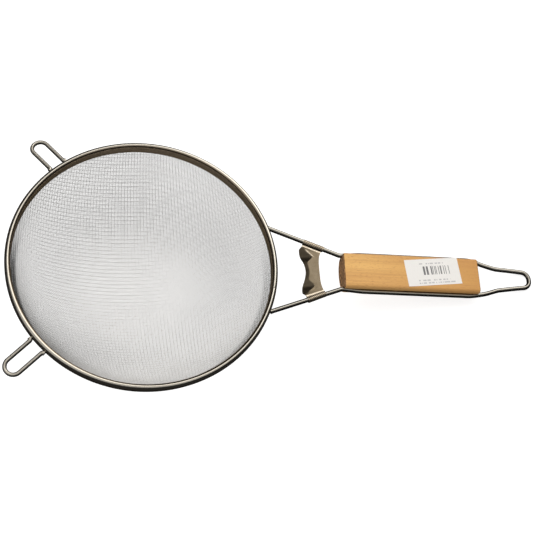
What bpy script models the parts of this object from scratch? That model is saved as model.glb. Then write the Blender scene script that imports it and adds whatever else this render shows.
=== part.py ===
"""Mesh strainer with a wooden handle, in metres, +Z up.

The strainer is modelled in the frame of its own rim: the rim's top edge lies in the plane z = 0, the rim's
centre is the origin, the bowl hangs below and the handle runs along +X. Every piece then hangs on one empty,
which is tilted and lifted so that the strainer lies as it does on a table, on the bowl and the hanging loop.
"""

import math

import bpy
import bmesh
from mathutils import Matrix, Vector
from mathutils.geometry import delaunay_2d_cdt

# Rim: a steel strip folded into a channel that is open below, closed over a core wire and both meshes
RIM_RADIUS = 0.102
RIM_HEIGHT = 0.0085
BEAD_WIDTH = 0.0044
RIM_SHEET = 0.0007
LIP_HEIGHT = 0.0025
CORE_WIRE = 0.0024

# Bowl: a fine mesh inside a coarse one, both pressed to the same dome. A plain grid of openings stands for
# their weave. It is turned about the point that meets the table, so that a bar lies there and not an opening
BOWL_DEPTH = 0.070
FINE_THICKNESS = 0.0004
SUPPORT_THICKNESS = 0.0008
MESH_GAP = 0.0003
OPENINGS_ACROSS = 12
OPENING_BAR = 0.0034
PLAIN_MARGIN = 0.0034
WEAVE_TURN = 5.0

# Handle frame: one wire from the rim, along both sides of the wood, round the hanging loop and back
FRAME_WIRE = 0.0036
FRAME_LEVEL = 0.00425
FRAME_ROOT_WIDTH = 0.0704
THROAT_LENGTH = 0.0503
FRAME_BEND = 0.005
GRIP_FRONT_WIDTH = 0.0284
GRIP_SPREAD_RUN = 0.016
GRIP_SPREAD_BEND = 0.05
GRIP_WIDTH = 0.0312
GRIP_RUN = 0.1077
GRIP_SWEEP = 0.040
LOOP_SHOULDER_REACH = 0.0205
LOOP_SHOULDER_WIDTH = 0.0186
LOOP_SWEEP = 0.025
LOOP_REACH = 0.0485
LOOP_TIP_WIDTH = 0.0124

# Wood: a flat bar with rounded edges and a shallow groove along each side, in which the wire lies
WOOD_LENGTH = 0.1099
WOOD_WIDTH = 0.029
WOOD_THICKNESS = 0.0135
WOOD_EDGE_RADIUS = 0.0024
WOOD_END_RADIUS = 0.001
WOOD_BEHIND_BEND = 0.0015

# Brace: a stamped plate across the throat, level with the wires. Its ends fold down, under the wires and back
# over them as sleeves, and its front edge is pressed down along a crease that swings back in two gussets
BRACE_SHEET = 0.0008
BRACE_FROM_RIM = 0.0223
BRACE_SLEEVE_LENGTH = 0.0158
BRACE_FOLD_RADIUS = 0.00125
BRACE_LIP_ANGLE = 150.0
BRACE_REAR_STEP = 0.0013
BRACE_LOBE = 0.0024
BRACE_LOBE_PLACE = 0.84
BRACE_WAIST = 0.0014
BRACE_REAR_HOLLOW = 0.0023
BRACE_WAIST_CREASE = 0.0019
BRACE_GUSSET_DEPTH = 0.0082
BRACE_GUSSET_PLACE = 0.6
BRACE_CORNER_CREASE = 0.0012
BRACE_CREASE_ANGLE = 21.0

# Pot rests: two wire loops welded to the rim opposite the handle
REST_WIRE = 0.0032
REST_WIDTH = 0.0125
REST_REACH = 0.0282
REST_FOOT = 0.0026
REST_FOOT_BEND = 0.002
REST_SLOPE = 9.6
REST_ANGLES = (130.7, 223.3)

# Gap between pieces that touch on the real strainer
CLEARANCE = 0.0003

# Share of the half width that each bend of a round loop end takes, just short of where the two would meet
LOOP_END_SHARE = 0.98

# Fineness of the round shapes
RIM_STEPS = 60
BEAD_STEPS = 8
ARC_STEP = 14.0
BRACE_ROWS = 7
BRACE_PRESSED_ROWS = 2
BRACE_WEB_STEPS = 20
BRACE_FOLD_STEPS = 3
BRACE_ROLL_STEPS = 14

STEEL = (0.52, 0.50, 0.45)
MESH_STEEL = (0.62, 0.62, 0.61)
BEECH = (0.80, 0.54, 0.28)


# Places that several pieces share

def dome_radius():
    """Radius of the bowl's outside, a dome from the foot of the rim's lips to the bowl's bottom."""
    foot = RIM_RADIUS - (BEAD_WIDTH - RIM_SHEET) / 2
    height = BOWL_DEPTH - RIM_HEIGHT
    return (foot ** 2 + height ** 2) / (2 * height)


def dome_centre():
    """Height of the dome's centre above the rim's top edge."""
    return dome_radius() - BOWL_DEPTH


def collar_radius(dome):
    """Radius at which a dome of this radius reaches the foot of the rim."""
    return math.sqrt(dome ** 2 - (dome_centre() + RIM_HEIGHT) ** 2)


def resting_tilt():
    """Angle by which the handle drops when the strainer lies on the dome and on the loop's tip."""
    rise = dome_centre() - FRAME_Z
    span = math.hypot(TIP_X, rise)
    return math.asin((dome_radius() - FRAME_WIRE / 2) / span) - math.atan2(rise, TIP_X)


SUPPORT_DOME = dome_radius() - SUPPORT_THICKNESS / 2
FINE_DOME = dome_radius() - SUPPORT_THICKNESS - MESH_GAP - FINE_THICKNESS / 2
FRAME_Z = -FRAME_LEVEL
WIRE_SEAT = RIM_RADIUS + CLEARANCE
ROOT_X = math.sqrt(WIRE_SEAT ** 2 - (FRAME_ROOT_WIDTH / 2) ** 2)
BEND_X = RIM_RADIUS + THROAT_LENGTH
WOOD_FRONT = BEND_X + WOOD_BEHIND_BEND
EXIT_X = BEND_X + GRIP_RUN
TIP_X = EXIT_X + LOOP_REACH
CLOTH_RADIUS = SUPPORT_DOME * math.asin(collar_radius(SUPPORT_DOME) / SUPPORT_DOME)
OPENING_PITCH = 2 * (CLOTH_RADIUS - PLAIN_MARGIN) / OPENINGS_ACROSS


def frame_half_width(x):
    """Distance from the middle line to the frame wire's centre between the rim and the wood."""
    share = (x - ROOT_X) / (BEND_X - ROOT_X)
    return (FRAME_ROOT_WIDTH + share * (GRIP_FRONT_WIDTH - FRAME_ROOT_WIDTH)) / 2


# Tools for building

def clear_scene():
    for item in list(bpy.data.objects):
        bpy.data.objects.remove(item, do_unlink=True)


def new_collection(name):
    group = bpy.data.collections.new(name)
    bpy.context.scene.collection.children.link(group)
    return group


def material(name, colour, roughness, metallic):
    finish = bpy.data.materials.new(name)
    finish.use_nodes = True
    shader = finish.node_tree.nodes["Principled BSDF"]
    shader.inputs["Base Color"].default_value = (*colour, 1.0)
    shader.inputs["Roughness"].default_value = roughness
    shader.inputs["Metallic"].default_value = metallic
    finish.diffuse_color = (*colour, 1.0)
    return finish


def add_object(name, data, group, parent, finish):
    item = bpy.data.objects.new(name, data)
    group.objects.link(item)
    item.parent = parent
    data.materials.append(finish)
    return item


def shade_round(mesh, angle=35.0):
    mesh.shade_smooth()
    mesh.set_sharp_from_angle(angle=math.radians(angle))


def profile_mesh(name, points):
    """An open line of points in the XZ plane, ready to be turned about Z."""
    mesh = bpy.data.meshes.new(name)
    mesh.from_pydata([(x, 0.0, z) for x, z in points], [(i, i + 1) for i in range(len(points) - 1)], [])
    return mesh


def turned_shell(name, points, thickness, group, parent, finish):
    """A sheet whose middle line is turned about Z and then given its thickness."""
    item = add_object(name, profile_mesh(name, points), group, parent, finish)
    turn = item.modifiers.new("turn", "SCREW")
    turn.axis = "Z"
    turn.angle = 2 * math.pi
    turn.screw_offset = 0.0
    turn.steps = RIM_STEPS
    turn.render_steps = RIM_STEPS
    turn.use_merge_vertices = True
    turn.merge_threshold = 0.00005
    turn.use_smooth_shade = True
    wall = item.modifiers.new("wall", "SOLIDIFY")
    wall.thickness = thickness
    wall.offset = 0.0
    wall.use_even_offset = True
    return item


def arc(centre, radius, start, end, steps):
    """Points of an arc in a plane, from one angle to another in degrees."""
    angles = [math.radians(start + (end - start) * i / steps) for i in range(steps + 1)]
    return [(centre[0] + radius * math.cos(a), centre[1] + radius * math.sin(a)) for a in angles]


def rounded_path(corners):
    """A bent wire's middle line in a plane: straight runs joined by an arc of given radius at each corner."""
    points = [Vector(corners[0][:2])]
    for i in range(1, len(corners) - 1):
        before, here, after = (Vector(corners[k][:2]) for k in (i - 1, i, i + 1))
        arriving = (here - before).normalized()
        leaving = (after - here).normalized()
        turn = arriving.angle_signed(leaving)
        radius = corners[i][2]
        tangent = radius * math.tan(abs(turn) / 2)
        side = math.copysign(1.0, turn)
        start = here - arriving * tangent
        # angle_signed is clockwise-positive, so the centre lies on the right for a positive turn
        centre = start + Vector((arriving.y, -arriving.x)) * radius * side
        steps = max(2, math.ceil(math.degrees(abs(turn)) / ARC_STEP))
        for k in range(steps + 1):
            spoke = start - centre
            spoke.rotate(Matrix.Rotation(-turn * k / steps, 2))
            points.append(centre + spoke)
    points.append(Vector(corners[-1][:2]))
    return points


def wire(name, points, diameter, group, parent, finish, fineness=2):
    """A round wire along a line of points, with flat ends."""
    data = bpy.data.curves.new(name, "CURVE")
    data.dimensions = "3D"
    data.bevel_depth = diameter / 2
    data.bevel_resolution = fineness
    data.use_fill_caps = True
    line = data.splines.new("POLY")
    line.points.add(len(points) - 1)
    for knot, place in zip(line.points, points):
        knot.co = (*place, 1.0)
    line.use_smooth = True
    return add_object(name, data, group, parent, finish)


def smooth_step(value):
    value = min(max(value, 0.0), 1.0)
    return value * value * (3 - 2 * value)


# Pieces

def make_rim_band(group, parent, finish):
    """The folded strip: up the inner leg, over the bead and down the outer leg, both crimped at the foot."""
    bead = (BEAD_WIDTH - RIM_SHEET) / 2
    centre = (RIM_RADIUS - BEAD_WIDTH / 2, -BEAD_WIDTH / 2)
    inner_lip = collar_radius(FINE_DOME) - FINE_THICKNESS / 2 - CLEARANCE - RIM_SHEET / 2
    outer_lip = collar_radius(SUPPORT_DOME) + SUPPORT_THICKNESS / 2 + CLEARANCE + RIM_SHEET / 2
    crimp = -(RIM_HEIGHT - LIP_HEIGHT)
    line = [(inner_lip, -RIM_HEIGHT), (centre[0] - bead, crimp)]
    line += arc(centre, bead, 180.0, 0.0, BEAD_STEPS)
    line += [(centre[0] + bead, crimp), (outer_lip, -RIM_HEIGHT)]
    return turned_shell("rim_band", line, RIM_SHEET, group, parent, finish)


def make_core_wire(group, parent, finish):
    """The hoop of wire that the strip is folded over."""
    bpy.ops.mesh.primitive_torus_add(
        major_segments=RIM_STEPS,
        minor_segments=8,
        major_radius=RIM_RADIUS - BEAD_WIDTH / 2,
        minor_radius=CORE_WIRE / 2,
    )
    item = bpy.context.object
    for owner in list(item.users_collection):
        owner.objects.unlink(item)
    group.objects.link(item)
    item.name = "rim_core_wire"
    item.data.name = item.name
    item.parent = parent
    item.location = (0.0, 0.0, -BEAD_WIDTH / 2)
    item.data.materials.append(finish)
    shade_round(item.data)
    return item


def ring(radius):
    """Points of a circle in a plane."""
    angles = [2 * math.pi * i / RIM_STEPS for i in range(RIM_STEPS)]
    return [Vector((radius * math.cos(a), radius * math.sin(a))) for a in angles]


def cloth_plan():
    """Wire cloth laid flat: a disc with square openings in straight rows, as points and triangles.

    The first points are the disc's edge, and the next ones a ring that keeps the openings off the rim.
    """
    inner = CLOTH_RADIUS - PLAIN_MARGIN
    points = ring(CLOTH_RADIUS) + ring(inner)
    loops = [list(range(RIM_STEPS))]
    half = (OPENING_PITCH - OPENING_BAR) / 2
    on_table = Vector((SUPPORT_DOME * resting_tilt(), 0.0))
    turn = Matrix.Rotation(math.radians(WEAVE_TURN), 2)
    rows = [OPENING_PITCH * (i + 0.5) for i in range(-(OPENINGS_ACROSS // 2), OPENINGS_ACROSS // 2)]
    for x in rows:
        for y in rows:
            corners = [(x - half, y - half), (x + half, y - half), (x + half, y + half), (x - half, y + half)]
            corners = [on_table + turn @ (Vector(corner) - on_table) for corner in corners]
            if max(corner.length for corner in corners) < inner - PLAIN_MARGIN / 4:
                loops.append([len(points) + k for k in range(4)])
                points += corners
    flat = delaunay_2d_cdt(points, [], loops, 2, 0.000001)
    return flat[0], flat[2]


def pressed(point, dome):
    """A point of the flat cloth laid onto a dome, as far from the bottom along the arc as it was on the flat."""
    angle = point.length / SUPPORT_DOME
    out = point.normalized() * dome * math.sin(angle)
    return Vector((out.x, out.y, dome_centre() - dome * math.cos(angle)))


def make_mesh_layer(name, dome, thickness, group, parent, finish):
    """A layer of wire cloth: the flat cloth pressed onto the dome, with a collar that stands in the rim."""
    points, triangles = cloth_plan()
    foot = [Vector((*place, -RIM_HEIGHT)) for place in ring(collar_radius(dome))]
    top = [Vector((*place, -(BEAD_WIDTH + CORE_WIRE) / 2 - CLEARANCE)) for place in ring(collar_radius(dome))]
    shaped = foot + [pressed(point, dome) for point in points[RIM_STEPS:]] + top
    collar = []
    for i in range(RIM_STEPS):
        k = (i + 1) % RIM_STEPS
        collar.append((i, len(points) + i, len(points) + k, k))
    mesh = bpy.data.meshes.new(name)
    mesh.from_pydata(shaped, [], [*triangles, *collar])
    item = add_object(name, mesh, group, parent, finish)
    wall = item.modifiers.new("wall", "SOLIDIFY")
    wall.thickness = thickness
    wall.offset = 0.0
    wall.use_even_offset = True
    return item


def frame_corners():
    """Corners of one side of the frame wire, from the rim to the loop's tip, each with its bend radius."""
    return [
        (ROOT_X, FRAME_ROOT_WIDTH / 2, 0.0),
        (BEND_X, GRIP_FRONT_WIDTH / 2, FRAME_BEND),
        (BEND_X + GRIP_SPREAD_RUN, GRIP_WIDTH / 2, GRIP_SPREAD_BEND),
        (EXIT_X, GRIP_WIDTH / 2, GRIP_SWEEP),
        (EXIT_X + LOOP_SHOULDER_REACH, LOOP_SHOULDER_WIDTH / 2, LOOP_SWEEP),
        (TIP_X, LOOP_TIP_WIDTH / 2, LOOP_TIP_WIDTH / 2 * LOOP_END_SHARE),
    ]


def frame_line():
    """Middle line of the whole frame wire, both its ends run on into the rim."""
    side = frame_corners()
    corners = side + [(x, -y, bend) for x, y, bend in reversed(side)]
    points = [Vector((p.x, p.y, FRAME_Z)) for p in rounded_path(corners)]
    for end, next_point in ((0, 1), (-1, -2)):
        points[end] += (points[end] - points[next_point]).normalized() * 2 * FRAME_WIRE
    return points


def make_handle_frame(group, cutters, parent, finish):
    """The single wire, its two ends cut to the round of the rim's outer wall, which they butt against."""
    item = as_mesh(wire("handle_frame", frame_line(), FRAME_WIRE, group, parent, finish))
    cut = item.modifiers.new("rim", "BOOLEAN")
    cut.operation = "DIFFERENCE"
    cut.solver = "EXACT"
    cut.object = rim_cutter(cutters, parent)
    return item


def rim_cutter(cutters, parent):
    """A drum as large as the rim with the clearance round it, its flats in line with the rim's flats."""
    mesh = bpy.data.meshes.new("rim_cutter")
    shape = bmesh.new()
    bmesh.ops.create_cone(
        shape, cap_ends=True, segments=RIM_STEPS, radius1=WIRE_SEAT, radius2=WIRE_SEAT, depth=3 * RIM_HEIGHT
    )
    shape.to_mesh(mesh)
    shape.free()
    return add_cutter("rim_cutter", mesh, cutters, parent)


def add_cutter(name, mesh, cutters, parent):
    item = bpy.data.objects.new(name, mesh)
    cutters.objects.link(item)
    item.parent = parent
    item.hide_render = True
    item.display_type = "WIRE"
    return item


def as_mesh(curve):
    """The curve object replaced by a mesh object of the same name, its end caps joined to its tube."""
    bpy.context.view_layer.update()
    graph = bpy.context.evaluated_depsgraph_get()
    mesh = bpy.data.meshes.new_from_object(curve.evaluated_get(graph), depsgraph=graph)
    shape = bmesh.new()
    shape.from_mesh(mesh)
    bmesh.ops.remove_doubles(shape, verts=shape.verts, dist=0.000001)
    shape.to_mesh(mesh)
    shape.free()
    name = curve.name
    group = curve.users_collection[0]
    item = bpy.data.objects.new(f"{name}_mesh", mesh)
    group.objects.link(item)
    item.parent = curve.parent
    item.matrix_world = curve.matrix_world
    bpy.data.objects.remove(curve, do_unlink=True)
    item.name = name
    return item


def make_wood_handle(group, cutters, parent, finish):
    """The wooden grip, a bar with all edges rounded, with the wire's groove cut into both sides."""
    mesh = bpy.data.meshes.new("wood_handle")
    shape = bmesh.new()
    bmesh.ops.create_cube(shape, size=1.0)
    bmesh.ops.scale(shape, vec=(WOOD_LENGTH, WOOD_WIDTH, WOOD_THICKNESS), verts=shape.verts)
    long_edges = [e for e in shape.edges if abs(e.verts[0].co.x - e.verts[1].co.x) > WOOD_LENGTH / 2]
    bmesh.ops.bevel(shape, geom=long_edges, offset=WOOD_EDGE_RADIUS, segments=5, profile=0.5, affect="EDGES")
    shape.to_mesh(mesh)
    shape.free()
    item = add_object("wood_handle", mesh, group, parent, finish)
    item.location = (WOOD_FRONT + WOOD_LENGTH / 2, 0.0, FRAME_Z)
    ends = item.modifiers.new("ends", "BEVEL")
    ends.width = WOOD_END_RADIUS
    ends.segments = 2
    ends.limit_method = "ANGLE"
    ends.angle_limit = math.radians(60)
    cut = item.modifiers.new("groove", "BOOLEAN")
    cut.operation = "DIFFERENCE"
    cut.solver = "EXACT"
    cut.object = groove_cutter(cutters, parent, finish)
    return item


def groove_cutter(cutters, parent, finish):
    """A rod along the frame wire's own line, wider than the wire by the clearance all round."""
    corners_of_rod = 16
    radius = (FRAME_WIRE / 2 + CLEARANCE) / math.cos(math.pi / corners_of_rod)
    fineness = corners_of_rod // 2 - 2
    rod = as_mesh(wire("groove_cutter", frame_line(), 2 * radius, cutters, parent, finish, fineness))
    rod.hide_render = True
    rod.display_type = "WIRE"
    return rod


def wire_run(side):
    """On one side, the frame wire's direction from the rim to the wood and the direction outwards."""
    run = Vector((BEND_X - ROOT_X, side * (GRIP_FRONT_WIDTH - FRAME_ROOT_WIDTH) / 2, 0.0)).normalized()
    outward = Vector((-run.y, run.x, 0.0)) * side
    return run, outward


def brace_roll():
    """Radius of the sleeve's middle surface round the wire."""
    return FRAME_WIRE / 2 + CLEARANCE + BRACE_SHEET / 2


def brace_section(side, share):
    """Centre of the wire where the sleeve is this share of its length from its front end."""
    x = RIM_RADIUS + BRACE_FROM_RIM + BRACE_SLEEVE_LENGTH * share
    return Vector((x, side * frame_half_width(x), FRAME_Z))


def brace_fold():
    """How far the fold's centre lies inwards of the wire's, and the angle of the line between the two."""
    reach = brace_roll() + BRACE_FOLD_RADIUS
    inset = math.sqrt(reach ** 2 - BRACE_FOLD_RADIUS ** 2)
    return inset, math.degrees(math.asin(BRACE_FOLD_RADIUS / reach))


def brace_end(side, share):
    """Where the web meets the fold beside the sleeve, a step short of the sleeve's rear end."""
    outward = wire_run(side)[1]
    beside = brace_section(side, share * (1 - BRACE_REAR_STEP / BRACE_SLEEVE_LENGTH))
    return beside - outward * brace_fold()[0]


def brace_outline(across):
    """Front edge, crease and rear edge of the web, with across from 0 at the middle to 1 at the fold."""
    front_end = brace_end(1, 0.0).x
    rear_end = brace_end(1, 1.0).x
    if across < BRACE_LOBE_PLACE:
        rise = smooth_step(across / BRACE_LOBE_PLACE)
        front = front_end + BRACE_WAIST - rise * (BRACE_WAIST + BRACE_LOBE)
    else:
        rise = smooth_step((across - BRACE_LOBE_PLACE) / (1 - BRACE_LOBE_PLACE))
        front = front_end - BRACE_LOBE * (1 - rise)
    rear = rear_end - BRACE_REAR_HOLLOW * (1 - across ** 4)
    if across < BRACE_GUSSET_PLACE:
        rise = smooth_step((2 * across - BRACE_GUSSET_PLACE) / BRACE_GUSSET_PLACE)
        crease = BRACE_WAIST_CREASE + rise * (BRACE_GUSSET_DEPTH - BRACE_WAIST_CREASE)
    else:
        rise = (across - BRACE_GUSSET_PLACE) / (1 - BRACE_GUSSET_PLACE)
        crease = BRACE_GUSSET_DEPTH + rise * (BRACE_CORNER_CREASE - BRACE_GUSSET_DEPTH)
    return front, front + crease, rear


def brace_row_place(row, front, crease, rear):
    """Place of a row between the front and the rear edge, the crease on the last of the pressed rows."""
    if row <= BRACE_PRESSED_ROWS:
        return front + (crease - front) * row / BRACE_PRESSED_ROWS
    return crease + (rear - crease) * (row - BRACE_PRESSED_ROWS) / (BRACE_ROWS - BRACE_PRESSED_ROWS)


def brace_row_share(row):
    """How far along the sleeve a row ends, from 0 at the front to 1 at the rear."""
    return brace_row_place(row, 0.0, BRACE_CORNER_CREASE / BRACE_SLEEVE_LENGTH, 1.0)


def brace_web_point(across, row):
    """A point of the web: across runs from -1 to 1 between the folds, pressed down in front of the crease."""
    side = math.copysign(1.0, across)
    share = abs(across)
    front, crease, rear = brace_outline(share)
    x = brace_row_place(row, front, crease, rear)
    fade = 1 - smooth_step((share - BRACE_LOBE_PLACE) / (1 - BRACE_LOBE_PLACE))
    drop = max(crease - x, 0.0) * math.tan(math.radians(BRACE_CREASE_ANGLE)) * fade
    end = brace_end(side, brace_row_share(row))
    return Vector((x, share * end.y, end.z - drop))


def brace_sleeve_points(side, share):
    """The sheet from the web's end outwards: the fold down, then the roll under, round and over the wire."""
    outward = wire_run(side)[1]
    inset, rise = brace_fold()
    fold = arc((-inset, -BRACE_FOLD_RADIUS), BRACE_FOLD_RADIUS, 90.0, rise, BRACE_FOLD_STEPS)[1:]
    roll = arc((0, 0), brace_roll(), 180.0 + rise, 360.0 + BRACE_LIP_ANGLE, BRACE_ROLL_STEPS)[1:]
    points = []
    for number, (away, up) in enumerate(fold + roll, start=1):
        step = BRACE_REAR_STEP / BRACE_SLEEVE_LENGTH * max(1 - number / (2 * BRACE_FOLD_STEPS), 0.0)
        centre = brace_section(side, share * (1 - step))
        points.append(centre + outward * away + Vector((0.0, 0.0, up)))
    return points


def make_brace_plate(group, parent, finish):
    """The brace as a grid: across it sleeve, web and sleeve, along it rows from front edge to rear edge."""
    lines = []
    for row in range(BRACE_ROWS + 1):
        share = brace_row_share(row)
        web = [brace_web_point(-1 + 2 * i / BRACE_WEB_STEPS, row) for i in range(BRACE_WEB_STEPS + 1)]
        lines.append(brace_sleeve_points(-1, share)[::-1] + web + brace_sleeve_points(1, share))
    width = len(lines[0])
    corners = [j * width + i for j in range(BRACE_ROWS) for i in range(width - 1)]
    faces = [(k, k + 1, k + width + 1, k + width) for k in corners]
    mesh = bpy.data.meshes.new("brace_plate")
    mesh.from_pydata([tuple(p) for line in lines for p in line], [], faces)
    shade_round(mesh)
    item = add_object("brace_plate", mesh, group, parent, finish)
    wall = item.modifiers.new("wall", "SOLIDIFY")
    wall.thickness = BRACE_SHEET
    wall.offset = 0.0
    wall.use_even_offset = True
    return item


def make_pot_rest(name, angle, group, parent, finish):
    """A wire loop in its own frame, +X away from the rim: two feet on the rim, two legs and a round end."""
    seat = RIM_RADIUS + CLEARANCE + REST_WIRE / 2
    half = REST_WIDTH / 2
    tip = RIM_RADIUS + REST_REACH

    def on_rim(y):
        return math.sqrt(seat ** 2 - y ** 2)

    side = [
        (on_rim(half + REST_FOOT), half + REST_FOOT, 0.0),
        (on_rim(half), half, REST_FOOT_BEND),
        (tip, half, half * LOOP_END_SHARE),
    ]
    corners = side + [(x, -y, bend) for x, y, bend in reversed(side)]
    slope = math.tan(math.radians(REST_SLOPE))
    points = []
    for p in rounded_path(corners):
        beyond = max(p.x - seat, 0.0)
        points.append((p.x, p.y, -slope * beyond))
    item = wire(name, points, REST_WIRE, group, parent, finish)
    item.location = (0.0, 0.0, FRAME_Z)
    item.rotation_euler = (0.0, 0.0, math.radians(angle))
    return item


def lay_on_table(group, root):
    """Tilts the strainer to its rest, then centres its box on the origin with its lowest point at z = 0."""
    root.rotation_euler = (0.0, resting_tilt(), 0.0)
    bpy.context.view_layer.update()
    graph = bpy.context.evaluated_depsgraph_get()
    low = Vector((math.inf,) * 3)
    high = Vector((-math.inf,) * 3)
    for item in group.objects:
        if item.type == "EMPTY":
            continue
        solid = item.evaluated_get(graph)
        mesh = solid.to_mesh()
        for vertex in mesh.vertices:
            place = solid.matrix_world @ vertex.co
            low = Vector(map(min, low, place))
            high = Vector(map(max, high, place))
        solid.to_mesh_clear()
    root.location = (-(low.x + high.x) / 2, -(low.y + high.y) / 2, -low.z)
    bpy.context.view_layer.update()


def main():
    clear_scene()
    group = new_collection("mesh_strainer")
    cutters = new_collection("cutters")
    root = bpy.data.objects.new("strainer_rest", None)
    group.objects.link(root)

    plated = material("plated_steel", STEEL, 0.22, 1.0)
    brace_steel = material("brace_steel", STEEL, 0.38, 1.0)
    cloth = material("wire_cloth", MESH_STEEL, 0.4, 1.0)
    beech = material("beech_wood", BEECH, 0.55, 0.0)

    make_rim_band(group, root, plated)
    make_core_wire(group, root, plated)
    make_mesh_layer("fine_mesh", FINE_DOME, FINE_THICKNESS, group, root, cloth)
    make_mesh_layer("support_mesh", SUPPORT_DOME, SUPPORT_THICKNESS, group, root, cloth)
    make_handle_frame(group, cutters, root, plated)
    make_brace_plate(group, root, brace_steel)
    make_wood_handle(group, cutters, root, beech)
    for number, angle in enumerate(REST_ANGLES, start=1):
        make_pot_rest(f"pot_rest_{number}", angle, group, root, plated)
    lay_on_table(group, root)


if __name__ == "__main__":
    main()
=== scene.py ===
"""Dresses the mesh strainer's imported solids: plated steel, woven wire cloth, a beech grip and a studio.

Every shape is worked out in the rim's own frame, where the rim's top edge is the plane z = 0, its centre is
the origin and the handle runs along +X. settle() then lays it on the table as the solids lie.
"""

import math
from types import SimpleNamespace

import bpy
import numpy as np
from bpy.props import FloatProperty, FloatVectorProperty, IntProperty, PointerProperty
from mathutils import Matrix, Vector


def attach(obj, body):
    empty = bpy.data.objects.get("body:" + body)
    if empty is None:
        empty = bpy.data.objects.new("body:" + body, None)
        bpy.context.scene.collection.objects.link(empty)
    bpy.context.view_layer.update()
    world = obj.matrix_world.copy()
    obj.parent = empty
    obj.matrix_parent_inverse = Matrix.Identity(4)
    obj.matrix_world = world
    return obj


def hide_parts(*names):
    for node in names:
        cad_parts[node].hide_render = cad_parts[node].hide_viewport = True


bl_info = {
    "name": "Mesh Strainer",
    "version": (1, 0, 0),
    "blender": (4, 5, 0),
    "location": "3D View > Sidebar > Strainer",
    "description": "Builds a mesh strainer with a folded rim, woven cloths, a wire frame and a wooden grip",
    "category": "Add Mesh",
}

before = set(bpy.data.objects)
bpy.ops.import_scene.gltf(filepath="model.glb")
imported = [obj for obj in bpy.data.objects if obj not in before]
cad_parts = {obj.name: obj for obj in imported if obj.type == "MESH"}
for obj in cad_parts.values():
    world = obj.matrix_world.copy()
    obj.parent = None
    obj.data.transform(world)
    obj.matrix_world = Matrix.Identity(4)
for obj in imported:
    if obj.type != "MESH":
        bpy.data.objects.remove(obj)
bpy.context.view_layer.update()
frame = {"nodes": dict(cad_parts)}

# Where the solids' rim centre lies above the table, once tilted to rest
RIM_PLACE = (-0.100724, 0.0, 0.070917)
# The camera: focal length and width of the picture in pixels, then the rim's turn (its axis times the angle)
# and the camera's place from the rim, as found from the photograph
FOCAL_PIXELS, FRAME_PIXELS = 1100.0, 533.0
RIM_TURN = (-0.445, 0.2014, -0.0081)
CAMERA_FROM_RIM = (0.0908997, -0.0054446, 0.8198147)
LAMP_PLACE, LAMP_AIM = (-0.15, 0.42, 1.15), (0.0, 0.0, 0.05)


# Sizes and finishes that a user may change


def length(name, default, description):
    """A length in metres."""
    kind = {"min": 0.0, "subtype": "DISTANCE", "unit": "LENGTH", "precision": 5}
    return FloatProperty(name=name, description=description, default=default, **kind)


def angle(name, default, description):
    """An angle, whose default is given in degrees."""
    kind = {"subtype": "ANGLE", "unit": "ROTATION"}
    return FloatProperty(name=name, description=description, default=math.radians(default), **kind)


def share(name, default, description):
    """A share from 0 to 1."""
    kind = {"min": 0.0, "max": 1.0, "subtype": "FACTOR"}
    return FloatProperty(name=name, description=description, default=default, **kind)


def whole(name, default, description):
    """A whole number from 1 up."""
    return IntProperty(name=name, description=description, default=default, min=1)


def colour(name, default, description):
    """A colour, linear."""
    kind = {"size": 3, "min": 0.0, "max": 1.0, "subtype": "COLOR"}
    return FloatVectorProperty(name=name, description=description, default=default, **kind)


class RimSizes(bpy.types.PropertyGroup):
    radius: length("Radius", 0.10194, "Outside radius of the rim")
    height: length("Height", 0.0085, "Height of the folded strip")
    bead: length("Bead", 0.0044, "Width of the round bead on top")
    sheet: length("Sheet", 0.0007, "Thickness of the strip")
    foot: length("Foot", 0.0033, "Height over which the two legs close in on the cloths")
    seam: angle("Seam", -10.5, "Where the strip's two ends butt, from the handle")
    ripple: length("Ripple", 0.00002, "How far the hand-fed strip waves from a true circle")


class ClothSizes(bpy.types.PropertyGroup):
    depth: length("Depth", 0.06994, "Depth of the bowl under the rim's top edge")
    coarse_wire: length("Coarse wire", 0.00023, "Thickness of the outer cloth's wire")
    coarse_warp: length("Coarse warp pitch", 0.0031, "Spacing of the wires that run along the handle")
    coarse_weft: length("Coarse weft pitch", 0.00275, "Spacing of the wires that run across")
    coarse_turn: angle("Coarse turn", 5.0, "How far the outer cloth is turned from the handle")
    fine_wire: length("Fine wire", 0.00027, "Thickness of the inner cloth's wire")
    finer: whole("Finer", 3, "Inner wires for each outer wire")
    fine_turn: angle("Fine turn", 4.7, "How far the inner cloth is turned from the handle")
    gap: length("Gap", 0.0003, "Space between the two cloths")
    pieces: whole("Pieces", 3, "Pieces that each fine layer is split into")


class FrameSizes(bpy.types.PropertyGroup):
    wire: length("Wire", 0.0036, "Thickness of the frame wire")
    level: length("Level", 0.00425, "Depth of the wire's axis under the rim's top edge")
    root_width: length("Root width", 0.0704, "Distance between the wires at the rim")
    throat: length("Throat", 0.0503, "Distance from the rim to the bend before the grip")
    front_width: length("Front width", 0.0284, "Distance between the wires at the grip's front")
    spread_run: length("Spread run", 0.016, "Length over which the wires spread apart behind the bend")
    grip_width: length("Grip width", 0.0312, "Distance between the wires along the grip")
    grip_run: length("Grip run", 0.1077, "Length of the wires' run along the grip")
    shoulder_reach: length("Shoulder reach", 0.0205, "Distance from the grip's run to the loop's shoulder")
    shoulder_width: length("Shoulder width", 0.0186, "Distance between the wires at the loop's shoulder")
    loop_reach: length("Loop reach", 0.0484, "Distance from the grip's run to the loop's tip")
    loop_width: length("Loop width", 0.0124, "Distance between the wires at the loop's tip")
    skew: angle("Skew", 0.43, "How far the handle is out of square with the rim")
    clearance: length("Clearance", 0.0003, "Space between pieces that touch")


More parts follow.
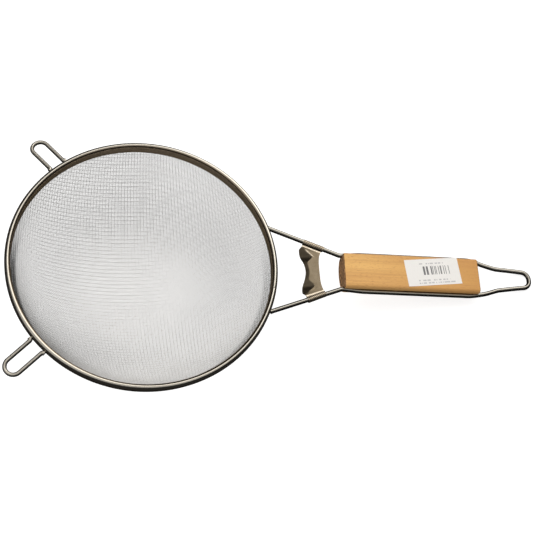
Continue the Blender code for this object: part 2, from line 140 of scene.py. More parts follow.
class RestSizes(bpy.types.PropertyGroup):
    wire: length("Wire", 0.0032, "Thickness of the pot rests' wire")
    width: length("Width", 0.0125, "Distance between a rest's legs")
    reach: length("Reach", 0.0282, "How far a rest stands out from the rim")
    foot: length("Foot", 0.0004, "Length of the foot that is welded to the rim")
    slope: angle("Slope", 9.6, "How far a rest droops")


class BraceSizes(bpy.types.PropertyGroup):
    sheet: length("Sheet", 0.0005, "Thickness of the stamped plate")
    from_rim: length("From rim", 0.0223, "Distance from the rim to the sleeves")
    sleeve: length("Sleeve", 0.0158, "Length of a sleeve")
    fold: length("Fold", 0.0014, "Radius of the fold between web and sleeve")
    gusset: length("Gusset", 0.0092, "Depth of the pressed gussets")
    skew: share("Skew", 0.028, "How far the plate is out of square, as a slope")


class GripSizes(bpy.types.PropertyGroup):
    behind_bend: length("Behind bend", 0.0015, "Distance from the wire's bend to the grip's front end")
    length: length("Length", 0.1099, "Length of the grip")
    width: length("Width", 0.029, "Width of the grip")
    thickness: length("Thickness", 0.0135, "Thickness of the grip")
    edge: length("Edge", 0.0024, "Radius of the long edges")
    end: length("End", 0.001, "Radius of the end edges")
    label_length: length("Label length", 0.0443, "Length of the sticker")
    label_width: length("Label width", 0.0227, "Width of the sticker")
    label_turn: angle("Label turn", 6.05, "How crookedly the sticker is stuck on")


class Finishes(bpy.types.PropertyGroup):
    plating: colour("Plating", (0.60, 0.575, 0.52), "Colour of the bright plated steel")
    plating_roughness: share("Plating roughness", 0.17, "Roughness of the bright plated steel")
    brace: colour("Brace", (0.275, 0.228, 0.163), "Colour of the satin plate")
    cloth: colour("Cloth", (0.86, 0.855, 0.84), "Colour of the woven wire")
    wood: colour("Wood", (0.86, 0.51, 0.165), "Colour of the beech at the grip's front")
    # The grip darkens from the front colour to this rear colour as painted shade
    wood_rear: colour("Wood rear", (0.68, 0.35, 0.095), "Colour of the beech at the grip's rear")
    wood_line: colour("Wood line", (0.60, 0.28, 0.085), "Colour of the beech's darker lines")
    # The end grain's colour is also laid in the grooves as painted shade round the wire
    end_grain: colour("End grain", (0.12, 0.065, 0.03), "Colour of the grip's sawn ends and grooves")
    paper: colour("Paper", (0.97, 0.95, 0.915), "Colour of the sticker")
    floor: colour("Floor", (0.56, 0.56, 0.56), "Colour of the studio floor")


class StrainerSettings(bpy.types.PropertyGroup):
    rim: PointerProperty(type=RimSizes)
    cloth: PointerProperty(type=ClothSizes)
    frame: PointerProperty(type=FrameSizes)
    rest: PointerProperty(type=RestSizes)
    brace: PointerProperty(type=BraceSizes)
    grip: PointerProperty(type=GripSizes)
    finish: PointerProperty(type=Finishes)


def places(settings):
    """Places that several pieces share, each worked out from the sizes."""
    rim, cloth, wire, grip = settings.rim, settings.cloth, settings.frame, settings.grip
    foot = rim.radius - (rim.bead - rim.sheet) / 2
    rise = cloth.depth - rim.height
    dome = (foot**2 + rise**2) / (2 * rise)
    centre = dome - cloth.depth
    coarse = dome - cloth.coarse_wire
    fine = coarse - cloth.coarse_wire - cloth.gap - cloth.fine_wire
    seat = rim.radius + wire.clearance
    bend_x = rim.radius + wire.throat
    exit_x = bend_x + wire.grip_run
    tip_x = exit_x + wire.loop_reach
    drop = centre + wire.level
    tilt = math.asin((dome - wire.wire / 2) / math.hypot(tip_x, drop)) - math.atan2(drop, tip_x)
    return SimpleNamespace(
        dome_centre=centre,
        coarse_dome=coarse,
        fine_dome=fine,
        collar=lambda radius: math.sqrt(radius**2 - (centre + rim.height) ** 2),
        root_x=math.sqrt(seat**2 - (wire.root_width / 2) ** 2),
        bend_x=bend_x,
        exit_x=exit_x,
        tip_x=tip_x,
        wood_front=bend_x + grip.behind_bend,
        wood_rear=bend_x + grip.behind_bend + grip.length,
        tilt=tilt,
    )


# Working with whole arrays of points


def unit(vectors):
    """Vectors of length one."""
    return vectors / np.linalg.norm(vectors, axis=-1, keepdims=True)


def smooth_step(values):
    """Eases from 0 to 1: three times the square less twice the cube."""
    values = np.clip(values, 0.0, 1.0)
    return values * values * (3 - 2 * values)


def settle(points, settings):
    """Turns points of the rim's frame about +Y by the resting tilt, then moves them to the rim's place."""
    tilt = places(settings).tilt
    cosine, sine = math.cos(tilt), math.sin(tilt)
    turn = np.array([[cosine, 0.0, sine], [0.0, 1.0, 0.0], [-sine, 0.0, cosine]])
    return points @ turn.T + np.array(RIM_PLACE)


def skewed(points, settings):
    """Shears the handle sideways: y grows with the distance from the middle of the grip."""
    wire = settings.frame
    middle = settings.rim.radius + wire.throat + wire.grip_run * 0.443
    points = np.array(points, dtype=float)
    points[..., 1] += (points[..., 0] - middle) * math.tan(wire.skew)
    return points


def bent_line(corners, spacing):
    """A wire's middle line in a plane: at each corner (x, y, radius) an arc that touches both straight runs.

    The arc's centre stands square to the arriving run, at the radius, on the side that the line turns to.
    The whole line is then given points at an even spacing along its length.
    """
    runs = [np.array(corners[0][:2])[None]]
    for before, here, after in zip(corners[:-2], corners[1:-1], corners[2:]):
        arriving = unit(np.subtract(here[:2], before[:2]))
        leaving = unit(np.subtract(after[:2], here[:2]))
        turn = math.atan2(arriving[0] * leaving[1] - arriving[1] * leaving[0], float(arriving @ leaving))
        start = np.array(here[:2]) - arriving * here[2] * math.tan(abs(turn) / 2)
        centre = start + np.array([-arriving[1], arriving[0]]) * math.copysign(here[2], turn)
        turned = np.linspace(0.0, turn, 24)
        spoke = start - centre
        x = spoke[0] * np.cos(turned) - spoke[1] * np.sin(turned)
        y = spoke[0] * np.sin(turned) + spoke[1] * np.cos(turned)
        runs.append(centre + np.stack([x, y], -1))
    runs.append(np.array(corners[-1][:2])[None])
    line = np.concatenate(runs)
    along = np.concatenate([[0.0], np.cumsum(np.linalg.norm(np.diff(line, axis=0), axis=1))])
    even = np.linspace(0.0, along[-1], int(along[-1] / spacing) + 1)
    return np.stack([np.interp(even, along, line[:, k]) for k in (0, 1)], -1)


def tube(line, radius, sides, up=(0.0, 0.0, 1.0)):
    """A circle carried along a line and square to it: radius times (cosine sideways plus sine upwards)."""
    tangent = unit(np.gradient(line, axis=0))
    sideways = unit(np.cross(tangent, np.array(up)))
    upwards = np.cross(sideways, tangent)
    turn = np.arange(sides) * 2 * math.pi / sides
    radius = np.broadcast_to(radius, len(line))[:, None, None]
    ring = sideways[:, None] * np.cos(turn)[:, None] + upwards[:, None] * np.sin(turn)[:, None]
    return line[:, None] + radius * ring


def grid_faces(rows, columns, loop_rows=False, loop_columns=False):
    """Corner numbers of the four-sided faces between neighbouring rows and columns of a grid."""
    row = np.arange(rows if loop_rows else rows - 1)[:, None]
    column = np.arange(columns if loop_columns else columns - 1)[None]
    next_row = (row + 1) % rows
    next_column = (column + 1) % columns
    corners = [
        row * columns + column,
        next_row * columns + column,
        next_row * columns + next_column,
        row * columns + next_column,
    ]
    return np.stack([np.broadcast_to(c, (row.size, column.size)) for c in corners], -1).reshape(-1, 4)


def build_mesh(name, points, quads, ends=(), sharp=40.0):
    """Puts points and faces into a mesh, turned outwards: all faces' signed volume has to be positive."""
    points = np.asarray(points, dtype=float).reshape(-1, 3)
    middle = points.mean(axis=0)
    a, b, c, d = (points[quads[:, k]] - middle for k in range(4))
    volume = np.einsum("ij,ij->", a, np.cross(b, c)) + np.einsum("ij,ij->", a, np.cross(c, d))
    if volume < 0:
        quads = quads[:, ::-1]
        ends = [end[::-1] for end in ends]
    corners = np.concatenate([quads.ravel(), *ends]).astype(np.int32)
    counts = np.concatenate([np.full(len(quads), 4), [len(end) for end in ends]]).astype(np.int32)
    mesh = bpy.data.meshes.new(name)
    mesh.vertices.add(len(points))
    mesh.vertices.foreach_set("co", points.astype(np.float32).ravel())
    mesh.loops.add(len(corners))
    mesh.loops.foreach_set("vertex_index", corners)
    mesh.polygons.add(len(counts))
    first = np.concatenate([[0], np.cumsum(counts)[:-1]])
    mesh.polygons.foreach_set("loop_start", first.astype(np.int32))
    mesh.update(calc_edges=True)
    if mesh.validate(verbose=False):
        raise RuntimeError(f"{name} has faces that don't hold together")
    mesh.shade_smooth()
    mesh.set_sharp_from_angle(angle=math.radians(sharp))
    return mesh


def tube_mesh(name, rings):
    """A mesh of a tube's rings, with a flat face on either end."""
    rows, sides = rings.shape[:2]
    first = np.arange(sides)
    last = (rows - 1) * sides + np.arange(sides)[::-1]
    return build_mesh(name, rings, grid_faces(rows, sides, loop_columns=True), [first, last])


def sheet_mesh(name, grid, thickness, sharp=40.0):
    """Both faces of a sheet: the grid moved half the thickness along its normals either way, joined round."""
    rows, columns = grid.shape[:2]
    normal = unit(np.cross(np.gradient(grid, axis=0), np.gradient(grid, axis=1)))
    offset = normal * thickness / 2
    section = np.concatenate([grid + offset, (grid - offset)[:, ::-1]], axis=1)
    quads = grid_faces(rows, 2 * columns, loop_columns=True)
    column = np.arange(columns - 1)
    start = np.stack([column, column + 1, 2 * columns - 2 - column, 2 * columns - 1 - column], -1)
    quads = np.concatenate([quads, start, (start + (rows - 1) * 2 * columns)[:, ::-1]])
    return build_mesh(name, section, quads, sharp=sharp)


def add_layer(mesh, name, values):
    """Gives every point of the mesh a value under the name."""
    layer = mesh.attributes.new(name, "FLOAT", "POINT")
    layer.data.foreach_set("value", np.asarray(values, dtype=np.float32).ravel())


def split_evenly(numbers, parts):
    """Numbers in order, split so that the discs' chords they stand for have about the same total length."""
    weight = np.cumsum(np.sqrt(np.maximum(1 - (numbers / (abs(numbers).max() + 1)) ** 2, 0.0)))
    marks = np.searchsorted(weight, weight[-1] * np.arange(1, parts) / parts)
    return np.split(numbers, marks)


def add_piece(mesh, finish, slot, *nodes):
    """Makes an object of the mesh that stands for the named solids and gives it the finish; the slot is not
    used.
    """
    piece = bpy.data.objects.new(mesh.name, mesh)
    bpy.context.scene.collection.objects.link(piece)
    mesh.materials.append(finish)
    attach(piece, "root")
    if nodes:
        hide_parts(*nodes)


# Shapes

# Points round the rim, and in radians beside its seam where they are finer and where the even ones stop
RIM_POINTS, SEAM_FINE, SEAM_CLEAR = 480, 0.008, 0.010
# The butt seam is a fine gap in a shallow dip: the depth and half width of each
SEAM_GROOVES = ((0.00013, 0.00016), (0.00006, 0.0012))
# Waves of the rim's radius: share, number round the rim and phase
RIM_WAVES = ((0.5, 3, 0.7), (0.25, 8, 2.1), (0.16, 19, 0.4), (0.09, 43, 1.3))
CORE_WIRE_RADIUS = 0.0012
# How far the cloths stand up in the rim past the collar
CLOTH_RISE = 0.0034
# The cloths' hem: start and rise as shares of the rim's radius, and how much wider its wires are pressed
HEM_START, HEM_RISE, HEM_FLATTENING = 0.905, 0.028, 1.8
# Spacing of points along the frame's wire and the rests' wire
FRAME_SPACING, REST_SPACING = 0.0008, 0.0006
# The brace: its rows, the row along the crease, the fold's columns and the spacing of the roller's marks
BRACE_ROWS, CREASE_ROW, FOLD_COLUMNS, MARK_PITCH = 91, 30, 7, 0.00105
# Places across its web from one end to the other, and how far each is from the middle
WEB_ACROSS = np.linspace(-1.0, 1.0, 121)
WEB_REACH = np.abs(WEB_ACROSS)
# Where the web's front lobes stand out most, as a share of its half width
LOBE = 0.84
# Points of half the grip's section: on the flat top, the edge, the side above the groove and the groove
GRIP_SAMPLES = (12, 8, 6, 17)
# The sticker's middle along and across the grip, its bend as a multiple of the edge's radius, its thickness,
# its height above the wood and how far its corners lift
LABEL_X, LABEL_Y, LABEL_BEND = 0.22536, 0.00085, 2.6
LABEL_SHEET, LABEL_HEIGHT, LABEL_LIFT = 0.00008, 0.00005, 0.00022


def round_about(out, height, around):
    """Points at a distance from the Z axis and a height, turned to each angle round it."""
    return np.stack(np.broadcast_arrays(out * np.cos(around), out * np.sin(around), height), -1)


def rim_grid(settings):
    """The folded strip as rings round the rim: its section turned about Z.

    The section's middle line goes up the inner leg, over half a circle and down the outer leg. Either leg
    closes in on the cloths near the foot by an eased step. The sheet's two faces lie half its thickness to
    either side. The radius waves by a few slow sines, and the faces dip in bell curves at the butt seam.
    """
    rim, cloth, place = settings.rim, settings.cloth, places(settings)
    bead = (rim.bead - rim.sheet) / 2
    middle = rim.radius - rim.bead / 2
    inner = place.collar(place.fine_dome) - cloth.fine_wire - settings.frame.clearance - rim.sheet / 2
    outer = place.collar(place.coarse_dome) + cloth.coarse_wire + settings.frame.clearance + rim.sheet / 2
    depth = np.linspace(-rim.height, -rim.bead / 2, 12)
    close = smooth_step((-(rim.height - rim.foot) - depth) / rim.foot)
    turn = np.linspace(math.pi, 0.0, 25)[1:-1]
    inner_leg = middle - bead + (inner - middle + bead) * close
    outer_leg = (middle + bead + (outer - middle - bead) * close)[::-1]
    x = np.concatenate([inner_leg, middle + bead * np.cos(turn), outer_leg])
    z = np.concatenate([depth, -rim.bead / 2 + bead * np.sin(turn), depth[::-1]])
    line = np.stack([x, z], -1)
    tangent = unit(np.gradient(line, axis=0))
    outward = np.stack([-tangent[:, 1], tangent[:, 0]], -1)

    def from_seam(angles):
        """Angles measured from the seam, between half a turn back and half a turn on."""
        return np.angle(np.exp(1j * (angles - rim.seam)))

    around = np.arange(RIM_POINTS) * 2 * math.pi / RIM_POINTS
    near_seam = rim.seam + np.linspace(-1, 1, 25) * SEAM_FINE
    around = np.concatenate([around[np.abs(from_seam(around)) > SEAM_CLEAR], near_seam])
    around = np.sort(np.mod(around, 2 * math.pi))
    beside = from_seam(around) * rim.radius
    groove = sum(deep * np.exp(-((beside / wide) ** 2)) for deep, wide in SEAM_GROOVES)
    wave = rim.ripple * sum(part * np.sin(count * around + phase) for part, count, phase in RIM_WAVES)
    rings = []
    for side in (1.0, -1.0):
        face = line + outward * side * rim.sheet / 2
        radius = face[None, :, 0] + np.minimum(wave, rim.ripple)[:, None] - rim.ripple
        radius = radius - groove[:, None] * outward[None, :, 0] * side
        height = face[None, :, 1] - groove[:, None] * np.maximum(outward[None, :, 1] * side, 0.0)
        ring = round_about(radius, height, around[:, None])
        rings.append(ring if side > 0 else ring[:, ::-1])
    return np.concatenate(rings, axis=1)


def bowl_points(s, t, offset, radius, turn, settings):
    """Lays cloth coordinates on the bowl: distance along the cloth becomes arc length from the lowest point.

    The angle at the dome's centre is the distance over the dome's radius. Past the foot of the rim the cloth
    stands up along the collar. The offset moves a point outwards, square to the cloth.
    """
    place = places(settings)
    reach = np.hypot(s, t)
    limit = math.asin(place.collar(radius) / radius)
    swing = np.minimum(reach / radius, limit)
    above = np.maximum(reach / radius - limit, 0.0) * radius
    on_dome = above <= 0.0
    out = np.where(on_dome, (radius + offset) * np.sin(swing), place.collar(radius) + offset)
    height = place.dome_centre - np.where(on_dome, radius + offset, radius) * np.cos(swing) + above
    return round_about(out, height, np.arctan2(t, s) + turn)


def hem_and_wall_weights(points, settings):
    """How far each point lies in the pressed hem by the rim, and how far it lies up the bowl's wall; both
    weights darken the cloth as painted shade.

    Both are eased steps of the distance from the bowl's axis. The hem fades out where y grows and halves
    towards the handle. The wall's weight fades out where y less 0.4 times x is lowest.
    """
    x, y = points[..., 0], points[..., 1]
    reach = np.hypot(x, y) / settings.rim.radius
    fade_from, fade_run, handle_run = -0.015, 0.06, 0.07
    hem = smooth_step((reach - HEM_START) / HEM_RISE) * (1 - smooth_step((y - fade_from) / fade_run))
    hem *= 1 - 0.5 * smooth_step(x / handle_run)
    wall_start, wall_rise = 0.25, 0.5
    front = smooth_step((y - 0.4 * x) / settings.rim.radius / 0.5 + 1.6)
    return hem, front * smooth_step((reach - wall_start) / wall_rise)


def cloth_mesh(name, wires, pitch, other_pitch, weave, across, settings):
    """A set of side-by-side wires of a plain weave, laid on the bowl.

    Along each wire the offset is half its thickness times a cosine that changes sign from one crossing wire
    to the next, and from one wire to its neighbour, so that the wires pass over and under each other. Every
    station carries four corners round the wire, further apart in the hem, which the roller has pressed flat.
    Stations past the rim's collar are left out and the wires' ends closed.
    """
    limit = weave.dome * math.asin(places(settings).collar(weave.dome) / weave.dome) + CLOTH_RISE
    count = int(limit / other_pitch) + 2
    station = np.arange(-count * weave.steps, count * weave.steps + 1) / weave.steps
    s, t = np.meshgrid((wires + weave.phase) * pitch, (station + weave.phase) * other_pitch, indexing="ij")
    parity = np.where(wires % 2 == 0, 1.0, -1.0)[:, None]
    half = weave.wire / 2
    offset = parity * np.cos(math.pi * station)[None] * (-1.0 if across else 1.0) * weave.wire / 2

    def on_bowl(beside, outward):
        """A point of each wire's section, beside the wire's middle and out from it."""
        first, second = (t, s + beside) if across else (s + beside, t)
        return bowl_points(first, second, offset + outward, weave.dome, weave.turn, settings)

    hem, wall = hem_and_wall_weights(on_bowl(0.0, 0.0), settings)
    flat = half * (1 + HEM_FLATTENING * hem**2)
    section = ((flat, 0.0), (0.0, half), (-flat, 0.0), (0.0, -half))
    rings = np.stack([on_bowl(beside, outward) for beside, outward in section], axis=2)
    inside = np.hypot(s, t) <= limit
    linked = inside[:, :-1] & inside[:, 1:]
    number = np.arange(inside.size).reshape(inside.shape)
    here, following = number[:, :-1][linked][:, None] * 4, number[:, 1:][linked][:, None] * 4
    corner = np.arange(4)
    after = (corner + 1) % 4
    quads = [here + corner, following + corner, following + after, here + after]
    quads = np.stack(quads, -1).reshape(-1, 4)
    pad = np.zeros((len(inside), 1), dtype=bool)
    starts = number[:, :-1][linked & ~np.concatenate([pad, linked[:, :-1]], axis=1)]
    stops = number[:, 1:][linked & ~np.concatenate([linked[:, 1:], pad], axis=1)]
    quads = np.concatenate([quads, starts[:, None] * 4 + corner, stops[:, None] * 4 + corner[::-1]])
    used, quads = np.unique(quads, return_inverse=True)
    points = rings.reshape(-1, 3)[used]
    mesh = build_mesh(name, settle(points, settings), quads.reshape(-1, 4), sharp=180.0)
    # Both layers darken the cloth as painted shade: up the wall and in the hem by the rim
    for layer, values in (("rimward", wall), ("hem", 0.97 * hem)):
        add_layer(mesh, layer, np.repeat(values, 4)[used])
    return mesh


def both_sides(corners):
    """Corners of the +Y side, and then the same ones of the -Y side on the way back."""
    return corners + [(x, -y, bend) for x, y, bend in reversed(corners)]


def wire_corners(settings):
    """The +Y wire's corners (x, y, bend radius) from the rim to the loop's tip."""
    wire, place = settings.frame, places(settings)
    return [
        (place.root_x, wire.root_width / 2, 0.0),
        (place.bend_x, wire.front_width / 2, 0.005),
        (place.bend_x + wire.spread_run, wire.grip_width / 2, 0.05),
        (place.exit_x, wire.grip_width / 2, 0.04),
        (place.exit_x + wire.shoulder_reach, wire.shoulder_width / 2, 0.025),
        (place.tip_x, wire.loop_width / 2, wire.loop_width / 2 * 0.98),
    ]


def frame_rings(settings):
    """The frame wire's tube along its bent line, its ends pushed a little into the rim's wall.

    Behind the grip a short eased step swings the wire one way and a longer one swings it back and past. The
    wire flares where it is welded, and slow sines keep its thickness from being dead even.
    """
    wire, place = settings.frame, places(settings)
    line = bent_line(both_sides(wire_corners(settings)), FRAME_SPACING)
    first, last = line[:1] + (line[:1] - line[1:2]), line[-1:] + (line[-1:] - line[-2:-1])
    line = skewed(np.concatenate([first, line, last]), settings)
    beyond = line[:, 0] - place.wood_rear
    # How far each swing goes, where it starts behind the wood and the length that it takes
    swings = ((0.001, 0.0063, 0.035), (0.0007, -0.0017, 0.009))
    longer, shorter = (far * smooth_step((beyond - start) / run) for far, start, run in swings)
    line[:, 1] += longer - shorter
    line = np.concatenate([line, np.full((len(line), 1), -wire.level)], axis=1)
    along = np.arange(len(line)) * FRAME_SPACING
    flare_depth, flare_run = 0.00012, 0.0012
    flare = flare_depth * np.exp(-np.minimum(along, along[::-1]) / flare_run)
    uneven = 0.00002 * np.sin(along * 210.0) + 0.000015 * np.sin(along * 520.0 + 1.0)
    return tube(line, wire.wire / 2 + np.minimum(flare + uneven, flare), 24)


def rest_rings(settings, direction):
    """A pot rest's tube: two short feet along the rim, two legs away from it and half a circle at the end.

    The feet sink a little into the rim's wall, and a bell curve thickens the wire there as the weld does.
    """
    rest, rim = settings.rest, settings.rim
    sink, bend, weld_depth, weld_run = 0.0006, 0.002, 0.0002, 0.0018
    seat = rim.radius + rest.wire / 2 - sink
    half = rest.width / 2
    foot = half + rest.foot
    corners = [
        (math.sqrt(seat**2 - foot**2), foot, 0.0),
        (math.sqrt(seat**2 - half**2), half, bend),
        (rim.radius + rest.reach, half, half * 0.98),
    ]
    line = bent_line(both_sides(corners), REST_SPACING)
    droop = -settings.frame.level - math.tan(rest.slope) * np.maximum(line[:, 0] - seat, 0.0)
    line = np.concatenate([line, droop[:, None]], axis=1)
    tilted = (math.sin(rest.slope), 0.0, math.cos(rest.slope))
    weld = weld_depth * np.exp(-(((line[:, 0] - seat) / weld_run) ** 2))
    rings = tube(line, rest.wire / 2 + weld, 20, up=tilted)
    cosine, sine = math.cos(direction), math.sin(direction)
    return rings @ np.array([[cosine, -sine, 0.0], [sine, cosine, 0.0], [0.0, 0.0, 1.0]]).T


def flank_weight(rings):
    """How far down a tube's side each point lies: 0 on the crest, 1 where the side is steep."""
    lift = rings[..., 2] - rings.mean(axis=1, keepdims=True)[..., 2]
    return smooth_step((0.9 - lift / np.abs(lift).max()) / 0.26).reshape(-1)


def wire_half_width(x, settings):
    """Distance from the middle to the frame wire before the grip: a straight line from rim to bend."""
    wire, place = settings.frame, places(settings)
    part = (x - place.root_x) / (place.bend_x - place.root_x)
    return (wire.root_width + part * (wire.front_width - wire.root_width)) / 2


def brace_sleeve(settings):
    """The sleeve on the +Y wire as rows along it, with the web's end beside it and the roller's marks.

    Each row folds down from the web in an arc and then rolls in a circle under, round and over the wire. The
    columns next to the web end further forward, by a share that fades, and the lip waves by a slow sine.
    """
    brace, wire, place = settings.brace, settings.frame, places(settings)
    run = unit(np.array([place.bend_x - place.root_x, (wire.front_width - wire.root_width) / 2]))
    clearance, past_full_turn = 0.00005, math.radians(146.0)
    roll = wire.wire / 2 + clearance + brace.sheet / 2
    inset = math.sqrt((roll + brace.fold) ** 2 - brace.fold**2)
    rise = math.asin(brace.fold / (roll + brace.fold))
    start = settings.rim.radius + brace.from_rim
    step = 0.0013 / brace.sleeve

    def beside_wire(part, away, up):
        """A point beside the wire: part of the way along the sleeve, away from the wire and up from it."""
        x = start + brace.sleeve * part
        y = wire_half_width(x, settings) + run[0] * away
        return np.stack([x - run[1] * away, y, up - wire.level], -1)

    rows = np.linspace(0.0, 1.0, BRACE_ROWS)
    fold = np.linspace(math.pi / 2, rise, FOLD_COLUMNS + 1)[1:]
    turn = np.linspace(math.pi + rise, 2 * math.pi + past_full_turn, 52)[1:]
    marks = np.sin(rows[:, None] * brace.sleeve * 2 * math.pi / MARK_PITCH + turn * 3.0)
    fold_rows = np.broadcast_to(fold, (len(rows), len(fold)))
    mark_depth, lip_depth = 0.00003, 0.00025
    ring = roll + mark_depth * marks
    away = np.concatenate([-inset + brace.fold * np.cos(fold_rows), ring * np.cos(turn)], axis=1)
    up = np.concatenate([-brace.fold + brace.fold * np.sin(fold_rows), ring * np.sin(turn)], axis=1)
    column = np.arange(away.shape[1])
    lag = step * np.clip(1 - (column + 1) / 16, 0.0, 1.0)
    sleeve = beside_wire(rows[:, None] * (1 - lag[None]), away, up)
    lip_wave = lip_depth * np.sin(rows * 9.0 + 0.5)[:, None] * smooth_step((column - 40) / 18)[None]
    sleeve[..., 0] += lip_wave * 0.4
    sleeve[..., 2] -= np.abs(lip_wave) * 0.3
    web_end = beside_wire(rows * (1 - step), np.full(rows.shape, -inset), np.zeros(rows.shape))
    return sleeve, web_end, marks


def brace_web(web_end, settings):
    """The web as rows from front to rear, the sleeve's row that each meets, and what lies ahead and behind.

    The front edge swings between a waist in the middle and two lobes by eased steps. A crease follows it,
    further back in two gussets and rounded by a running mean, and ahead of it the sheet drops by a slope.
    The last two results are each point's distance ahead of the crease and behind the front edge.
    """
    brace, reach = settings.brace, WEB_REACH
    past_lobe = smooth_step((reach - LOBE) / (1 - LOBE))
    # Where the front edge lies at the waist and the lobes, its swing between them and the rear edge's hollow
    at_waist, at_lobe, swing, hollow = 0.0014, -0.0024, 0.0038, 0.0023
    front = np.where(reach < LOBE, at_waist - smooth_step(reach / LOBE) * swing, at_lobe * (1 - past_lobe))
    front = front + web_end[0, 0]
    rear = web_end[-1, 0] - hollow * (1 - reach**4)
    # How far the crease lies behind the front edge at the waist and in the corners, and where it is furthest
    waist, corner, widest = 0.0028, 0.0012, 0.6
    growing = waist + smooth_step((2 * reach - widest) / widest) * (brace.gusset - waist)
    closing = brace.gusset + (reach - widest) / 0.4 * (corner - brace.gusset)
    crease = front + np.where(reach < widest, growing, closing)
    window = np.hanning(15)[1:-1]
    crease = np.convolve(np.pad(crease, 6, mode="edge"), window / window.sum(), mode="valid")
    folded = np.linspace(0.0, 1.0, CREASE_ROW + 1)[:, None]
    flat = np.linspace(0.0, 1.0, BRACE_ROWS - CREASE_ROW)[1:, None]
    x = np.concatenate([front + (crease - front) * folded, crease + (rear - crease) * flat])
    meets = np.concatenate([0.0012 / brace.sleeve * folded[:, 0], 0.078 + 0.922 * flat[:, 0]])
    fade = 1 - past_lobe
    ahead = crease - x
    rounding, slope = 0.0005, math.radians(21.0)
    eased = (ahead + np.sqrt(ahead**2 + rounding**2)) / 2
    drop = eased * math.tan(slope) * fade
    width = np.interp(meets, np.linspace(0.0, 1.0, BRACE_ROWS), web_end[:, 1])[:, None] * WEB_ACROSS
    uneven = 0.00002 * np.sin(WEB_ACROSS * 7.0 + x * 900.0) * fade
    web = np.stack([x, width, -settings.frame.level - drop + uneven], -1)
    return web, meets, ahead, x - front


def brace_coats(columns, ahead, behind, marks):
    """How much painted shade and painted highlight each point of the brace carries, from 0 to 1.

    Painted shade darkens the slope ahead of the crease and the corners by the front. Painted highlights lie
    in a bell curve along one gusset, on the folds and on the sleeves' front edges; the sleeves are lighter,
    striped by the roller's marks.
    """
    web = slice(columns, columns + len(WEB_ACROSS))
    facet_shade = np.zeros((BRACE_ROWS, web.stop + columns))
    highlight_and_marks = np.zeros(facet_shade.shape)
    slope = smooth_step(ahead / 0.0006 + 0.5) * (1 - 0.4 * smooth_step((WEB_REACH - 0.9) / 0.1))
    corners = 0.75 * smooth_step((WEB_REACH - 0.78) / 0.12) * (1 - smooth_step((behind - 0.006) / 0.008))
    facet_shade[:, web] = np.maximum(slope, corners) * np.where(WEB_ACROSS > 0, 0.9, 0.65)
    gusset = smooth_step((WEB_REACH - 0.6) / 0.05) * (1 - smooth_step((WEB_REACH - 0.8) / 0.12))
    gusset = gusset * (WEB_ACROSS > 0)
    highlight_and_marks[:, web] = 0.75 * gusset * np.exp(-(((ahead + 0.0011) / 0.0010) ** 2))
    hatch = 0.32 + 0.3 * marks
    highlight_and_marks[:, web.stop + FOLD_COLUMNS :] = hatch
    highlight_and_marks[:, : web.start - FOLD_COLUMNS] = hatch[:, ::-1]
    for edge in (web.start, web.stop):
        highlight_and_marks[:, edge - 3 : edge + 3] = 1.0
    highlight_and_marks[:2, web.stop :] = 1.0
    highlight_and_marks[:2, : web.start] = 1.0
    return facet_shade, highlight_and_marks


def brace_grid(settings):
    """The stamped brace as rows from front edge to rear edge, each from one sleeve's lip to the other's.

    The -Y sleeve is the other one mirrored and a little shorter along the wire. The plate is then sheared.
    """
    sleeve, web_end, marks = brace_sleeve(settings)
    web, meets, ahead, behind = brace_web(web_end, settings)
    rows, columns = np.linspace(0.0, 1.0, BRACE_ROWS), sleeve.shape[1]
    sleeve = np.apply_along_axis(lambda line: np.interp(meets, rows, line), 0, sleeve)
    mirrored = sleeve[:, ::-1] * np.array([1.0, -1.0, 1.0])
    start = settings.rim.radius + settings.brace.from_rim
    mirrored[..., 0] -= 0.12 * (mirrored[..., 0] - start) * smooth_step((np.arange(columns)[::-1] - 4) / 16)
    grid = np.concatenate([mirrored, web, sleeve], axis=1)
    grid[..., 0] -= grid[..., 1] * settings.brace.skew
    return grid, *brace_coats(columns, ahead, behind, marks)


def grip_section(half_width, half_thickness, edge, wire_y, groove):
    """Half of the grip's section, from the middle of the top round the +Y side to the middle of the bottom.

    Flat top, a quarter circle at the edge, the side down to the groove, the groove's arc about the wire, the
    rest of the side, a quarter circle and the flat bottom. The arc ends where its circle meets the side.
    """
    top, corner, side, arc = GRIP_SAMPLES
    opening = np.arccos(np.clip((half_width - wire_y) / groove, -0.999, 0.999))
    mouth = groove * np.sin(opening)
    flat = np.linspace(0.0, 1.0, top, endpoint=False)
    quarter = np.linspace(0.0, math.pi / 2, corner, endpoint=False)
    down = np.linspace(0.0, 1.0, side, endpoint=False)
    bend = opening + (2 * math.pi - 2 * opening) * np.linspace(0.0, 1.0, arc)
    y_corner, z_corner = half_width - edge, half_thickness - edge
    y = np.concatenate([y_corner * flat, y_corner + edge * np.sin(quarter), half_width + 0 * down])
    wall = z_corner + (mouth - z_corner) * down
    z = np.concatenate([half_thickness + 0 * flat, z_corner + edge * np.cos(quarter), wall])
    y = np.concatenate([y, wire_y + groove * np.cos(bend), y[::-1]])
    return np.stack([y, np.concatenate([z, groove * np.sin(bend), -z[::-1]])], -1)


